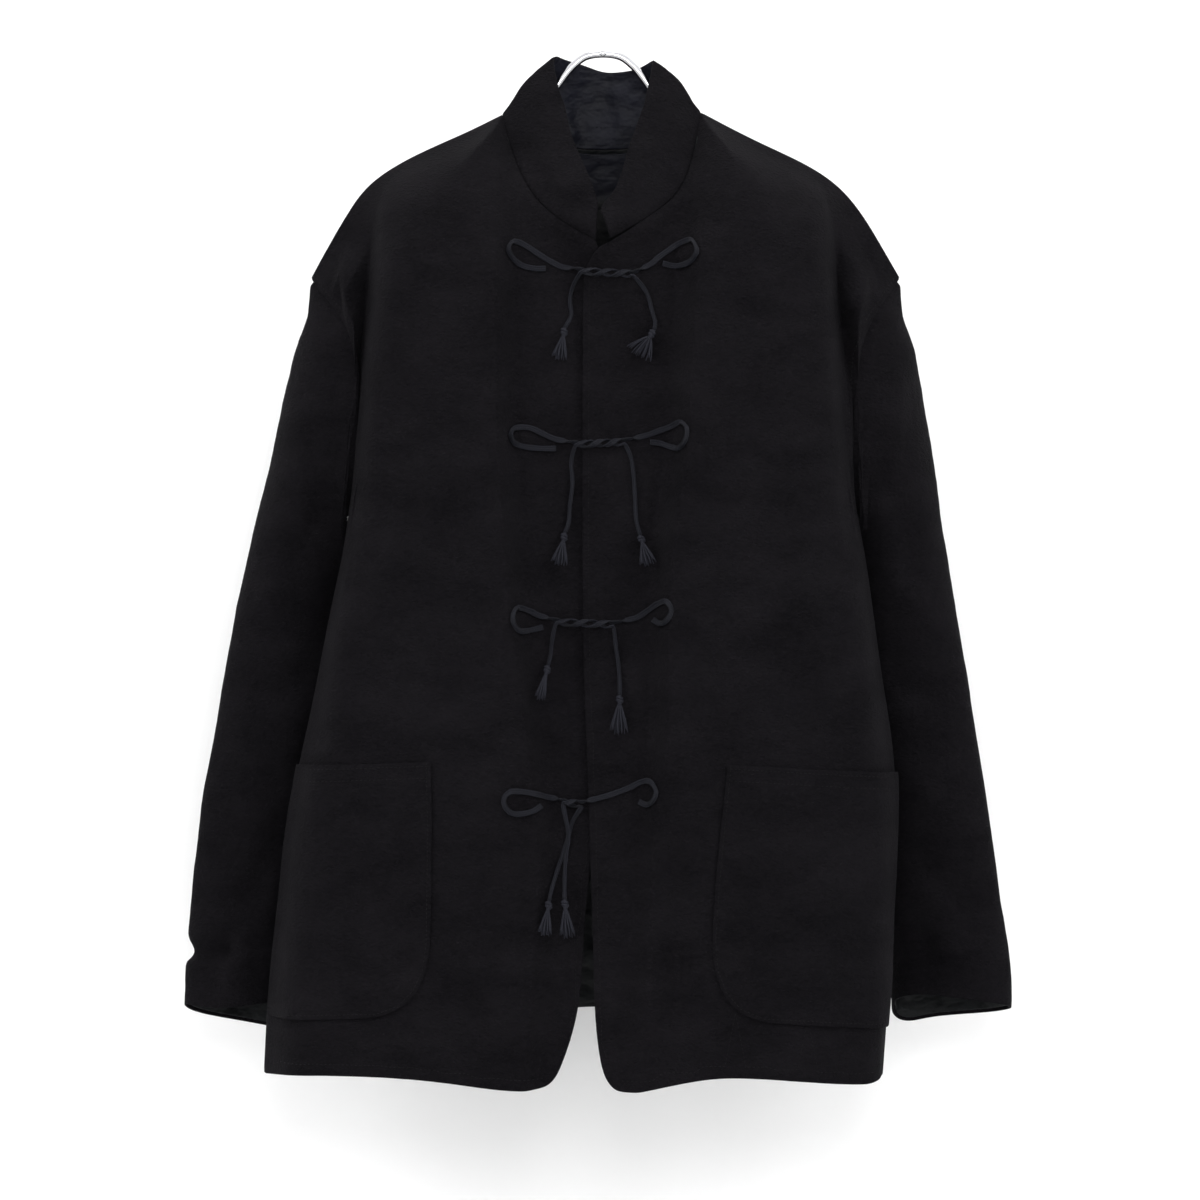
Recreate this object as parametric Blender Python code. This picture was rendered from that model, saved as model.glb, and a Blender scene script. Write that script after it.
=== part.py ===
"""A reversible jacket with knotted ties, hanging on a chrome rod hanger.

Metres, +Z up, front towards -Y, the wearer's left at +X. The origin is the underside of the
hanger's arch, where a peg or rail holds it. The tables are in millimetres: x is the distance to
the wearer's left, y the distance towards the back, and drop the distance below the origin.
"""
import math

import bmesh
import bpy
import numpy as np
from mathutils import Matrix, Vector
from mathutils.bvhtree import BVHTree

MM = 0.001
WALL = 2.2
SEAM_GAP = 0.3
UNDERARM_DROP = 363.0
SHOULDER_END_DROP = 176.0
HEM_SIDE_DROP = 809.5
ROD_DIAMETER = 6.0
TIE_DIAMETER = 4.0
TIE_SPACING = 6.5
TASSEL_STRANDS = 8
# How far the end of a tie rises off the cloth for its knot, and the tassel's tip stands off it.
TASSEL_RISE = 3.0
TASSEL_LIE = 6.4
POCKET_WALL = 1.4
POCKET_BAND = 0.8
POCKET_GAP = 0.4
LINING_WALL = 1.2
LINING_GAP = 0.6

# Wearer's right and left sides of the body, and how far front and back stand from the middle.
BODY = dict(
    drop=[176, 190, 204, 220, 236, 260, 300, 345, 363, 393, 438, 513, 554, 612, 679, 733, 763, 816],
    right=[234, 225, 211, 203, 198, 197, 198, 201, 203, 207, 217, 231, 240, 252, 260, 266, 268, 270.5],
    left=[238, 228, 219, 209, 205, 203, 201, 201, 203, 209, 215, 225, 232, 233, 231, 228, 226, 222],
    front_seam_y=[0, -12, -20, -23, -24, -24, -20, -6, 4, -4, -12, -18, -20, -20, -20, -20, -20, -20],
    back_seam_y=[0, 18, 30, 40, 46, 50, 48, 26, 4, -4, -12, -18, -20, -20, -20, -20, -20, -20],
    front_y=[-66, -67, -69, -71, -72, -74, -75, -77, -78, -78, -79, -81, -82, -84, -86, -87, -88, -88],
    back_y=[62, 63, 64, 65, 66, 67, 68, 69, 70, 70, 71, 72, 72, 73, 74, 74, 75, 75],
)
SHOULDER_RIGHT = dict(
    x=[-81.6, -106.4, -133.6, -159.2, -184, -193.6, -203, -215, -226, -234],
    drop=[46.6, 57.8, 69.8, 81.8, 97, 106, 121, 141, 161, 176],
)
SHOULDER_LEFT = dict(
    x=[79, 106.4, 130.4, 156.8, 184, 193.6, 205, 217, 228, 238],
    drop=[44, 57.8, 69.8, 81.8, 97, 106, 120, 139, 159, 176],
)
# Neckline seam and the top edge of the collar, from the right front round the back to the left.
COLLAR = dict(
    seam_x=[-6, -35, -58, -73, -81, -66, -36, 0, 36, 65, 78.5, 73, 61, 37, 11],
    seam_y=[-54.5, -45, -28, -12, 2, 26, 41, 46, 41, 26, 2, -12, -28, -46, -58.5],
    seam_drop=[151, 134, 110, 76, 45, 56, 65, 68, 65, 56, 43, 76, 110, 131, 149.5],
    top_x=[-3.5, -10, -20, -31, -40, -33, -17, 0, 17, 33, 41, 33, 22, 13, 3],
    top_y=[-57, -52, -40, -22, -3, 17, 30, 35, 30, 17, -3, -22, -40, -52, -62],
    top_drop=[122, 103, 82, 54, 0, -1, 1, 7, 7, 5, 2, 44, 76, 103, 126],
)
# Rows of the collar's table where its seam meets the shoulder seams.
COLLAR_NECK = (4.0, 10.0)
NECK_MIDDLE_Y = -5.0
NECK_RISE = 0.6
FRONT_EDGE_LEFT = dict(
    drop=[149.5, 162, 173, 192, 465, 574, 656, 702, 747, 780, 799],
    x=[11, -9, -14, -15.7, -15.7, -11.8, -9.4, -7.9, -6.8, -5.2, -1.6],
)
FRONT_EDGE_RIGHT = dict(
    drop=[151, 192, 465, 574, 656, 702, 747, 774, 799],
    x=[-6, 4, 4, -2, -11.8, -15.5, -17.5, -23.5, -33],
)
# The fold that runs down each front beside the opening, with the cloth set back inside it.
FRONT_FOLD_RIGHT = dict(
    drop=[60, 154, 300, 390, 452, 560, 640, 816],
    x=[82, 83, 82.6, 77, 71.5, 57, 50, 62],
    step=[2, 12, 14, 14, 13, 9, 4, 2],
    crest=[0, 3, 5, 5, 4, 3, 2, 2],
)
FRONT_FOLD_LEFT = dict(
    drop=[60, 154, 246, 321, 390, 452, 543, 590, 816],
    x=[78, 75, 69.2, 64.6, 53, 50.5, 50.5, 42, 29],
    step=[2, 14, 17, 17, 17, 17, 15, 10, 5],
    crest=[0, 4, 6, 6, 6, 6, 5, 4, 3],
)
# The wearer's right front lies this far behind the left one, up to these distances from the middle.
LAP_STEP = 4.8
LAP_BLEND = (26.0, 66.0)
# The trough between the body and the top of each sleeve.
SIDE_TROUGH = dict(
    drop=[95, 125, 182, 214, 239, 263, 300, 345, 400, 816],
    x=[190, 186, 187, 189, 193, 195, 196, 196, 197, 220],
    depth=[0, 8, 34, 36, 34, 30, 20, 8, 0, 0],
)
HEM_RIGHT = dict(x=[33, 36, 43, 52, 72, 95, 119, 166, 238, 269],
                 drop=[799, 805, 812, 814.5, 816, 813, 809.5, 805.5, 805.5, 809.5])
HEM_LEFT = dict(x=[-1, 4, 13, 44, 67, 91, 138, 186, 211, 222],
                drop=[799, 810, 816.5, 814, 808, 805, 807.5, 812, 813, 809.5])
BACK_HEM_CENTRE_DROP = 767.0
BACK_FOLDS = dict(x=[-118, -46, 22, 96], height=[7, -6, 6, -7], width=[30, 26, 24, 28])
# Sleeves: outer line, width as it hangs, centre and half depth, and turn towards the back.
SLEEVE = dict(
    drop=[176, 232, 273, 313, 353, 393, 434, 474, 514, 555, 595, 635, 675, 716, 770],
    outer_right=[236, 250, 258.5, 266.5, 277, 286, 296, 302, 309, 317, 323, 328, 332, 336.5, 337.5],
    outer_left=[239, 253, 259.5, 266.5, 272, 278, 285, 291.5, 297, 303, 308.5, 316, 321, 328, 329.5],
    half_width=[26, 28, 30, 32, 35, 40, 46, 51, 54, 55, 54, 54, 53, 52, 51],
    centre_y=[8, 12, 15, 19, 24, 30, 34, 35, 34, 33, 32, 32, 32, 32, 32],
    half_depth=[40, 40, 40, 40, 39, 37, 34, 31, 29, 28, 27, 27, 26, 26, 26],
)
SLEEVE_TURN = math.radians(24.0)
ARMHOLE_LEAN = 0.45
SLEEVE_ROOM = (1.0, 4.8)
ARMPIT_DEPTH = 15.0
ARMPIT_SLIP = 0.5
CUFF_RIGHT = dict(angle=[0, 60, 110, 150, 180, 210, 240, 300, 360],
                  drop=[757, 761, 757, 744, 764, 784, 781, 770, 757])
CUFF_LEFT = dict(angle=[0, 60, 110, 150, 180, 210, 240, 300, 360],
                 drop=[760, 754, 750, 757, 770, 780, 774, 768, 760])
POCKET_RIGHT = dict(drop=[560, 574, 612, 660, 700, 722, 740, 752, 759],
                    inner=[134, 134, 133, 133.5, 134, 137, 145, 157, 175])
POCKET_LEFT = dict(drop=[562, 576, 612, 655, 700, 722, 741, 754, 762],
                   inner=[96, 95, 91, 87, 84, 86, 93, 104, 122])
POCKET_SKEW_RIGHT = 4.0
POCKET_SKEW_LEFT = 8.0
ARCH = dict(x=[-46, -42, -37.6, -30.4, -24, -14, 0, 14, 24, 30.4, 37.6, 42, 46],
            drop=[41, 33, 24.2, 14, 6.6, -0.8, -3, -0.8, 6.6, 14, 24.2, 33, 41])
ARM = dict(x=[52, 64, 85, 106, 133, 159, 173], drop=[49, 55, 61.5, 69.5, 81.5, 93.5, 101])

# Each tie: x and drop of its sewn loop, of the tail that hangs free, and of its tassel's tip.
TIES = {
    "right_1": dict(
        loop=[(-45, 173), (-53, 173), (-63, 171), (-70, 166), (-74, 159), (-72, 153), (-67, 152),
              (-59, 156), (-50, 162), (-40, 168), (-31, 172)],
        tail=[(34, 192), (38, 205), (41, 216), (40, 222)], tassel=(28, 243)),
    "left_1": dict(
        loop=[(47, 169), (57, 171), (67, 169), (73, 162), (72, 155), (68, 151), (60, 153),
              (51, 159), (44, 164), (37, 170)],
        tail=[(-24, 188), (-26, 199), (-25, 210), (-30, 220)], tassel=(-34, 245)),
    "right_2": dict(
        loop=[(-37, 315), (-48, 315), (-60, 314), (-69, 311), (-72, 304), (-68, 299), (-57, 299),
              (-46, 304), (-36, 308)],
        tail=[(22, 323), (24, 337), (25, 353), (26, 371), (29, 383)], tassel=(36, 406)),
    "left_2": dict(
        loop=[(37, 310), (45, 311), (53, 314), (59, 315), (64, 309), (65, 300), (60, 295), (53, 298),
              (44, 301), (33, 305)],
        tail=[(-25, 326), (-24, 342), (-26, 360), (-27, 373), (-30, 381)], tassel=(-34, 406)),
    "right_3": dict(
        loop=[(-47, 455), (-55, 457), (-64, 458), (-69, 453), (-70, 446), (-67, 440), (-58, 442),
              (-50, 446)],
        tail=[(10, 470), (12, 484), (13, 498), (13, 508)], tassel=(13, 538)),
    "left_3": dict(
        loop=[(39, 449), (44, 452), (49, 450), (53, 442), (49, 435), (42, 437), (35, 442), (25, 448)],
        tail=[(-40, 466), (-41, 476), (-43, 485)], tassel=(-49, 511)),
    "right_4": dict(
        loop=[(-48, 594), (-54, 598), (-62, 600), (-70, 600), (-76, 595), (-77, 588), (-72, 583),
              (-63, 583), (-52, 585), (-42, 588)],
        tail=[(-24, 607), (-27, 618), (-31, 631), (-36, 646), (-40, 659), (-42, 668)],
        tassel=(-45, 694)),
    "left_4": dict(
        loop=[(28, 591), (34, 593), (39, 589), (41, 582), (36, 575), (29, 576), (21, 580), (8, 585),
              (-6, 589)],
        tail=[(-27, 617), (-29, 634), (-30, 651), (-30, 667)], tassel=(-27, 696)),
}
# Centre line of each half knot, from the wearer's right to the left, and its turns.
KNOTS = {
    1: dict(start=(-18, 176), end=(24, 178), turns=1.5),
    2: dict(start=(-22, 312), end=(17, 310), turns=1.5),
    3: dict(start=(-37, 451), end=(8, 453), turns=1.5),
    4: dict(start=(-31, 592), end=(-17, 593), turns=0.5),
}
KNOT_RADIUS = 2.9
KNOT_STEPS = 8
# Sections of the knot over a tassel, and how each strand narrows and spreads from its root.
KNOT_PROFILE = dict(radius=[1.3, 3.3, 3.9, 2.5, 3.4, 4.4], along=[0.0, 1.6, 4.6, 7.2, 9.0, 11.6])
STRAND_INSET = 0.22
STRAND_SPREAD = 0.16
STRAND_TAPER = 0.86

# Rows of every panel: down the armhole, in millimetres, then evenly to the hem; and its columns.
ARMHOLE_ROWS = [0, 8, 21, 38, 60, 85, 112, 140, 166, 187]
SKIRT_ROWS = 13
NECK_COLUMNS = 7
SHOULDER_COLUMNS = 8
FRONT_COLUMNS = NECK_COLUMNS + SHOULDER_COLUMNS
BACK_NECK_COLUMNS = 10
BACK_COLUMNS = BACK_NECK_COLUMNS + 2 * SHOULDER_COLUMNS
# Rows of a sleeve as fractions of its length; its lining starts at the one named after them.
SLEEVE_ROWS = [0, 0.02, 0.05, 0.09, 0.14, 0.2, 0.27, 0.35, 0.43,
               0.52, 0.61, 0.7, 0.79, 0.87, 0.94, 0.985, 1]
CUFF_LINING_ROW = 0.87
NECK_LINING_ROWS = 6
COLLAR_ROWS = 5
POCKET_COLUMNS = 10

# How square the body's section is, and how far below a seam the cloth takes to fall to it.
FRONT_POWER = 3.4
BACK_POWER = 2.3
FRONT_FALL = 38.0
BACK_FALL = 40.0
FALL_POWER = 1.25
TOP_SPREAD = 110.0
HEM_POWER = 2.4
# Shift and half width of the step inside each long fold, and of its crest.
FOLD_STEP = (8.0, 6.5)
FOLD_CREST = (3.0, 13.0)
TROUGH_WIDTH = 8.5
TROUGH_LIMIT = 16.0
COLLAR_BULGE = 4.5
CUFF_INSET = 6.0
NECK_LINING_DROP = 3.0
POCKET_TAPER = 1.6
POCKET_SIDE_GAP = 1.2
RIVET_RADIUS = 2.6
RIVET_FLATTENING = 0.6

MATERIALS = {
    "cloth": ((0.0085, 0.0080, 0.0098, 1.0), 0.92, 0.0),
    "satin": ((0.018, 0.021, 0.028, 1.0), 0.42, 0.0),
    "braid": ((0.017, 0.017, 0.027, 1.0), 0.7, 0.0),
    "chrome": ((0.78, 0.78, 0.80, 1.0), 0.16, 1.0),
}


def clear_scene():
    for obj in list(bpy.data.objects):
        bpy.data.objects.remove(obj, do_unlink=True)


def make_material(finish, name):
    colour, roughness, metallic = MATERIALS[finish]
    material = bpy.data.materials.new(name)
    material.use_nodes = True
    shader = material.node_tree.nodes["Principled BSDF"]
    shader.inputs["Base Color"].default_value = colour
    shader.inputs["Roughness"].default_value = roughness
    shader.inputs["Metallic"].default_value = metallic
    return material


def table(rows, column, key, where):
    """Value of one column of a table, read smoothly at a place along another column."""
    return float(np.interp(where, rows[key], rows[column]))


def smooth_table(keys, values, where):
    """Value on a smooth curve through a table's rows."""
    k = int(np.clip(np.searchsorted(keys, where) - 1, 0, len(keys) - 2))
    h = keys[k + 1] - keys[k]
    t = min(max((where - keys[k]) / h, 0.0), 1.0)
    before = max(k - 1, 0)
    after = min(k + 2, len(keys) - 1)
    slope_a = (values[k + 1] - values[before]) / (keys[k + 1] - keys[before]) * h
    slope_b = (values[after] - values[k]) / (keys[after] - keys[k]) * h
    t2 = t * t
    t3 = t2 * t
    return ((2 * t3 - 3 * t2 + 1) * values[k] + (t3 - 2 * t2 + t) * slope_a
            + (3 * t2 - 2 * t3) * values[k + 1] + (t3 - t2) * slope_b)


def ease(t):
    t = min(max(t, 0.0), 1.0)
    return t * t * (3 - 2 * t)


def body(column, drop):
    return smooth_table(BODY["drop"], BODY[column], drop)


def collar_point(row, place):
    """Point of the collar's seam or top edge; place runs over the table's rows."""
    rows = range(len(COLLAR["seam_x"]))
    return np.array([smooth_table(rows, COLLAR[row + "_" + axis], place)
                     for axis in ("x", "y", "drop")])


def shoulder_point(side, t):
    """Point of the shoulder seam, from the neck to its end."""
    rows = SHOULDER_LEFT if side > 0 else SHOULDER_RIGHT
    reach = [math.hypot(x - rows["x"][0], d - rows["drop"][0]) for x, d in zip(rows["x"], rows["drop"])]
    where = t * reach[-1]
    return np.array([smooth_table(reach, rows["x"], where), 2.0 * (1 - t),
                     smooth_table(reach, rows["drop"], where)])


def side_x(side, drop):
    return side * body("left" if side > 0 else "right", drop)


def seam_depth(drop, front):
    """Depth of the armhole seam, or of the side seam that front and back share below it."""
    if drop >= UNDERARM_DROP:
        front = True
    return body("front_seam_y" if front else "back_seam_y", drop)


def body_section(side, x, drop, front):
    """Depth of the body's front or back at a distance x from the middle."""
    seam_y = seam_depth(drop, front)
    middle_y = body("front_y" if front else "back_y", drop)
    power = FRONT_POWER if front else BACK_POWER
    s = min(abs(x) / abs(side_x(side, drop)), 1.0)
    return seam_y + (middle_y - seam_y) * (1 - s ** power) ** (1 / power)


def front_field(side, x, drop):
    """Depth of a front's surface, with its long fold and the trough beside the sleeve."""
    rows = FRONT_FOLD_LEFT if side > 0 else FRONT_FOLD_RIGHT
    y = body_section(side, x, drop, True)
    fold_x = smooth_table(rows["drop"], rows["x"], drop)
    out = side * x - fold_x
    inside = 0.5 * (1 - math.tanh((out + FOLD_STEP[0]) / FOLD_STEP[1]))
    y += smooth_table(rows["drop"], rows["step"], drop) * inside
    crest = math.exp(-((out - FOLD_CREST[0]) / FOLD_CREST[1]) ** 2)
    y -= smooth_table(rows["drop"], rows["crest"], drop) * crest
    trough_x = smooth_table(SIDE_TROUGH["drop"], SIDE_TROUGH["x"], drop)
    depth = smooth_table(SIDE_TROUGH["drop"], SIDE_TROUGH["depth"], drop)
    y += depth * math.exp(-((side * x - trough_x) / TROUGH_WIDTH) ** 2)
    return min(y, body("front_seam_y", drop) + TROUGH_LIMIT)


def back_field(x, drop):
    y = body_section(1 if x > 0 else -1, x, drop, False)
    s = abs(x) / abs(side_x(1 if x > 0 else -1, drop))
    room = max(0.0, 1 - s ** 4) * ease((drop - 150) / 200)
    for fold_x, height, width in zip(BACK_FOLDS["x"], BACK_FOLDS["height"], BACK_FOLDS["width"]):
        y += room * height * math.exp(-((x - fold_x) / width) ** 2)
    return y


def side_rows():
    skirt = HEM_SIDE_DROP - UNDERARM_DROP
    rows = [SHOULDER_END_DROP + row for row in ARMHOLE_ROWS]
    return rows + [UNDERARM_DROP + skirt * (k + 1) / SKIRT_ROWS for k in range(SKIRT_ROWS)]


def row_fraction(row):
    rows = side_rows()
    low = int(min(row, len(rows) - 2))
    drop = rows[low] + (rows[low + 1] - rows[low]) * (row - low)
    return (drop - rows[0]) / (rows[-1] - rows[0])


def front_track(side, column, drop):
    """Where a column of the front runs: on the edge, the fold, the trough and the seam."""
    edge_rows = FRONT_EDGE_LEFT if side > 0 else FRONT_EDGE_RIGHT
    fold_rows = FRONT_FOLD_LEFT if side > 0 else FRONT_FOLD_RIGHT
    edge = side * smooth_table(edge_rows["drop"], edge_rows["x"], drop)
    fold = smooth_table(fold_rows["drop"], fold_rows["x"], drop)
    seam = abs(side_x(side, max(drop, SHOULDER_END_DROP)))
    trough = smooth_table(SIDE_TROUGH["drop"], SIDE_TROUGH["x"], drop)
    trough = min(trough, seam - 7)
    inside = max(fold - 14, edge + 12)
    stops = [edge, inside, max(fold + 1, inside + 8), trough - 12, trough, seam]
    return side * float(np.interp(column, [0, 3, 5, 11, 13, FRONT_COLUMNS], stops))


def front_top(side, column):
    if column <= NECK_COLUMNS:
        place = 4.0 * column / NECK_COLUMNS
        if side > 0:
            place = 14 - place
        return collar_point("seam", place)
    return shoulder_point(side, (column - NECK_COLUMNS) / SHOULDER_COLUMNS)


def front_point(side, column, row):
    """Point of a front's outer face, by column from the edge and row from the shoulder."""
    top = front_top(side, column)
    fraction = row_fraction(row)
    if column >= FRONT_COLUMNS:
        drop = SHOULDER_END_DROP + (HEM_SIDE_DROP - SHOULDER_END_DROP) * fraction
        return np.array([side_x(side, drop), seam_depth(drop, True), drop])
    hem_rows = HEM_LEFT if side > 0 else HEM_RIGHT
    hem_x = side * front_track(side, column, HEM_SIDE_DROP)
    hem = smooth_table(hem_rows["x"], hem_rows["drop"], hem_x)
    drop = top[2] + (hem - top[2]) * fraction
    spread = ease((drop - top[2]) / (TOP_SPREAD * (1 - column / FRONT_COLUMNS) + 0.01))
    if column == 0:
        spread = 1.0
    x = top[0] + (front_track(side, column, drop) - top[0]) * spread
    fall = 1 - math.exp(-((drop - top[2]) / FRONT_FALL) ** FALL_POWER)
    y = top[1] + (front_field(side, x, drop) - top[1]) * fall
    if side < 0 and x > -LAP_BLEND[1]:
        under = top[1] + (front_field(1, x, drop) + LAP_STEP - top[1]) * fall
        y += (under - y) * ease((x + LAP_BLEND[1]) / (LAP_BLEND[1] - LAP_BLEND[0]))
    return np.array([x, y, drop])


def back_point(column, row):
    """Point of the back's outer face, by column from the wearer's right to the left."""
    last = BACK_COLUMNS
    half = last / 2
    shoulder = SHOULDER_COLUMNS
    side = 1 if column > half else -1
    if column < shoulder:
        top = shoulder_point(-1, 1 - column / shoulder)
    elif column > last - shoulder:
        top = shoulder_point(1, 1 - (last - column) / shoulder)
    else:
        start, end = COLLAR_NECK
        top = collar_point("seam", start + (end - start) * (column - shoulder) / BACK_NECK_COLUMNS)
    fraction = row_fraction(row)
    away = abs(column / half - 1)
    hem = BACK_HEM_CENTRE_DROP + (HEM_SIDE_DROP - BACK_HEM_CENTRE_DROP) * away ** HEM_POWER
    drop = top[2] + (hem - top[2]) * fraction
    spread = ease((drop - top[2]) / (TOP_SPREAD * (1 - away) + 0.01))
    if away == 1:
        spread = 1.0
    track = away * side_x(side, max(drop, SHOULDER_END_DROP))
    x = top[0] + (track - top[0]) * spread
    fall = 1.0 if away == 1 else 1 - math.exp(-((drop - top[2]) / BACK_FALL) ** FALL_POWER)
    y = top[1] + (back_field(x, drop) - top[1]) * fall
    return np.array([x, y, drop])


def to_world(points):
    """Tables' x, y and drop in millimetres to metres with +Z up."""
    points = np.asarray(points, dtype=float)
    world = points * MM
    world[..., 2] *= -1
    return world


def grid_normals(points, closed):
    """Unit normals of a grid of points, from its rows and columns."""
    along = np.gradient(points, axis=0)
    if closed:
        across = np.roll(points, -1, axis=1) - np.roll(points, 1, axis=1)
    else:
        across = np.gradient(points, axis=1)
    normals = np.cross(across, along)
    return normals / np.maximum(np.linalg.norm(normals, axis=2, keepdims=True), 1e-12)


def pull_in(points, gap, sides):
    """Draw a grid's borders in by half of the seam gap."""
    pulled = points.copy()
    for name, border, inner in (("top", (0, slice(None)), (1, slice(None))),
                                ("bottom", (-1, slice(None)), (-2, slice(None))),
                                ("start", (slice(None), 0), (slice(None), 1)),
                                ("end", (slice(None), -1), (slice(None), -2))):
        if name not in sides:
            continue
        step = points[inner] - points[border]
        length = np.maximum(np.linalg.norm(step, axis=-1, keepdims=True), 1e-9)
        pulled[border] = pulled[border] + step / length * gap / 2
    return pulled


def add_object(name, mesh, finish):
    obj = bpy.data.objects.new(name, mesh)
    obj.data.materials.append(make_material(finish, name + "_" + finish))
    COLLECTION.objects.link(obj)
    for polygon in mesh.polygons:
        polygon.use_smooth = True
    return obj


def wall_from_grid(name, outer, inner, finish, closed=False):
    """A cloth wall between two grids of points, closed along its borders."""
    rows, columns = outer.shape[:2]
    work = bmesh.new()
    sheets = [[[work.verts.new(point) for point in row] for row in grid] for grid in (outer, inner)]
    last = columns if closed else columns - 1
    for sheet, flip in zip(sheets, (False, True)):
        for r in range(rows - 1):
            for c in range(last):
                n = (c + 1) % columns
                a, b, d, e = sheet[r][c], sheet[r + 1][c], sheet[r + 1][n], sheet[r][n]
                for corners in ((a, b, d), (a, d, e)):
                    work.faces.new(corners[::-1] if flip else corners)
    out, inn = sheets
    for c in range(last):
        n = (c + 1) % columns
        work.faces.new([out[0][n], inn[0][n], inn[0][c], out[0][c]])
        work.faces.new([out[-1][c], inn[-1][c], inn[-1][n], out[-1][n]])
    if not closed:
        for r in range(rows - 1):
            work.faces.new([out[r][0], inn[r][0], inn[r + 1][0], out[r + 1][0]])
            work.faces.new([out[r + 1][-1], inn[r + 1][-1], inn[r][-1], out[r][-1]])
    bmesh.ops.triangulate(work, faces=work.faces[:])
    if work.calc_volume(signed=True) < 0:
        bmesh.ops.reverse_faces(work, faces=work.faces[:])
    mesh = bpy.data.meshes.new(name)
    work.to_mesh(mesh)
    work.free()
    return add_object(name, mesh, finish)


def facing_out(points, normals, away_from):
    """Turn the normals so that, on the whole, they point away from a line in the middle."""
    out = points - away_from
    if float(np.sum(out * normals)) < 0:
        return -normals
    return normals


def blend_normal(normals, index, direction):
    direction = np.asarray(direction, dtype=float)
    normals[index] = direction / np.linalg.norm(direction)


def neck_normals(world):
    """Unit normals along the neckline seam, shared by the collar and the panels."""
    out = world - np.array([0, NECK_MIDDLE_Y * MM, 0])
    out[:, 2] = 0
    out /= np.linalg.norm(out, axis=1, keepdims=True)
    out[:, 2] = NECK_RISE
    return out / np.linalg.norm(out, axis=1, keepdims=True)


def armhole_normals(side):
    """Unit normals round the armhole seam, shared by the sleeve and the panels."""
    ring = to_world(armhole_ring(side))
    along = np.roll(ring, -1, axis=0) - np.roll(ring, 1, axis=0)
    out = np.cross(along, np.array([side, 0, 0]))
    out /= np.linalg.norm(out, axis=1, keepdims=True)
    if float(np.sum(out * (ring - ring.mean(axis=0)))) < 0:
        out = -out
    out += np.array([side * ARMHOLE_LEAN, 0, 0])
    return out / np.linalg.norm(out, axis=1, keepdims=True)


def make_front(side):
    rows = len(side_rows())
    grid = np.array([[front_point(side, c, r) for c in range(FRONT_COLUMNS + 1)] for r in range(rows)])
    world = to_world(grid)
    normals = facing_out(world, grid_normals(world, False), np.array([0, 0.3, world[..., 2].mean()]))
    armhole = len(ARMHOLE_ROWS) - 1
    for c in range(NECK_COLUMNS + 1, FRONT_COLUMNS + 1):
        blend_normal(normals, (0, c), (side * 0.5, 0, 0.87))
    normals[0, :NECK_COLUMNS + 1] = neck_normals(world[0, :NECK_COLUMNS + 1])
    around = armhole_normals(side)
    for r in range(armhole):
        normals[r, -1] = around[r]
    for r in range(armhole, rows):
        blend_normal(normals, (r, -1), (side, 0, 0))
    world = pull_in(world, SEAM_GAP * MM, ("top", "end"))
    name = "front_left" if side > 0 else "front_right"
    inner = world - normals * WALL * MM
    return wall_from_grid(name, world, inner, "cloth"), world, normals


def make_back():
    rows = len(side_rows())
    grid = np.array([[back_point(c, r) for c in range(BACK_COLUMNS + 1)] for r in range(rows)])
    world = to_world(grid)
    normals = facing_out(world, grid_normals(world, False), np.array([0, -0.3, world[..., 2].mean()]))
    armhole = len(ARMHOLE_ROWS) - 1
    for c in range(SHOULDER_COLUMNS):
        blend_normal(normals, (0, c), (-0.5, 0, 0.87))
        blend_normal(normals, (0, BACK_COLUMNS - c), (0.5, 0, 0.87))
    neck = slice(SHOULDER_COLUMNS, BACK_COLUMNS - SHOULDER_COLUMNS + 1)
    normals[0, neck] = neck_normals(world[0, neck])
    for side, end in ((-1, 0), (1, -1)):
        around = armhole_normals(side)
        for r in range(armhole):
            normals[r, end] = around[-r]
        for r in range(armhole, rows):
            blend_normal(normals, (r, end), (side, 0, 0))
    world = pull_in(world, SEAM_GAP * MM, ("top", "start", "end"))
    inner = world - normals * WALL * MM
    wall_from_grid("back", world, inner, "cloth")
    return world, normals


def armhole_ring(side):
    """The armhole seam from the shoulder end down the front, and up the back."""
    rows = [SHOULDER_END_DROP + row for row in ARMHOLE_ROWS]
    front = [(side_x(side, d), body("front_seam_y", d), d) for d in rows]
    back = [(side_x(side, d), body("back_seam_y", d), d) for d in rows[-2:0:-1]]
    return np.array(front + back)


def sleeve_section(side, angle, drop):
    """Point of the hanging sleeve at an angle from its outer edge round by the front."""
    outer = smooth_table(SLEEVE["drop"], SLEEVE["outer_left" if side > 0 else "outer_right"], drop)
    half_width = smooth_table(SLEEVE["drop"], SLEEVE["half_width"], drop)
    half_depth = smooth_table(SLEEVE["drop"], SLEEVE["half_depth"], drop)
    centre_y = smooth_table(SLEEVE["drop"], SLEEVE["centre_y"], drop)
    along = half_width * math.cos(angle)
    across = -half_depth * math.sin(angle)
    turned = along * math.cos(SLEEVE_TURN) + across * math.sin(SLEEVE_TURN)
    y = centre_y - along * math.sin(SLEEVE_TURN) + across * math.cos(SLEEVE_TURN)
    reach = math.hypot(half_width * math.cos(SLEEVE_TURN), half_depth * math.sin(SLEEVE_TURN))
    return np.array([side * (outer - reach + turned), y, drop])


def clear_of_body(side, point, room):
    """Move a sleeve's point just clear of the body's side and back."""
    x, y, drop = point
    if drop < SHOULDER_END_DROP or drop > HEM_SIDE_DROP:
        return point
    edge = abs(side_x(side, drop))
    least = edge + room - max(0, drop - UNDERARM_DROP - ARMPIT_DEPTH) * ARMPIT_SLIP
    x = side * max(abs(x), least)
    if abs(x) < edge + room:
        limit = back_field(side * min(abs(x), edge), drop) + room
        if y < limit:
            near_edge = edge + room - abs(x)
            if near_edge < limit - y:
                x = side * (edge + room)
            else:
                y = limit
    return np.array([x, y, drop])


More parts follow.
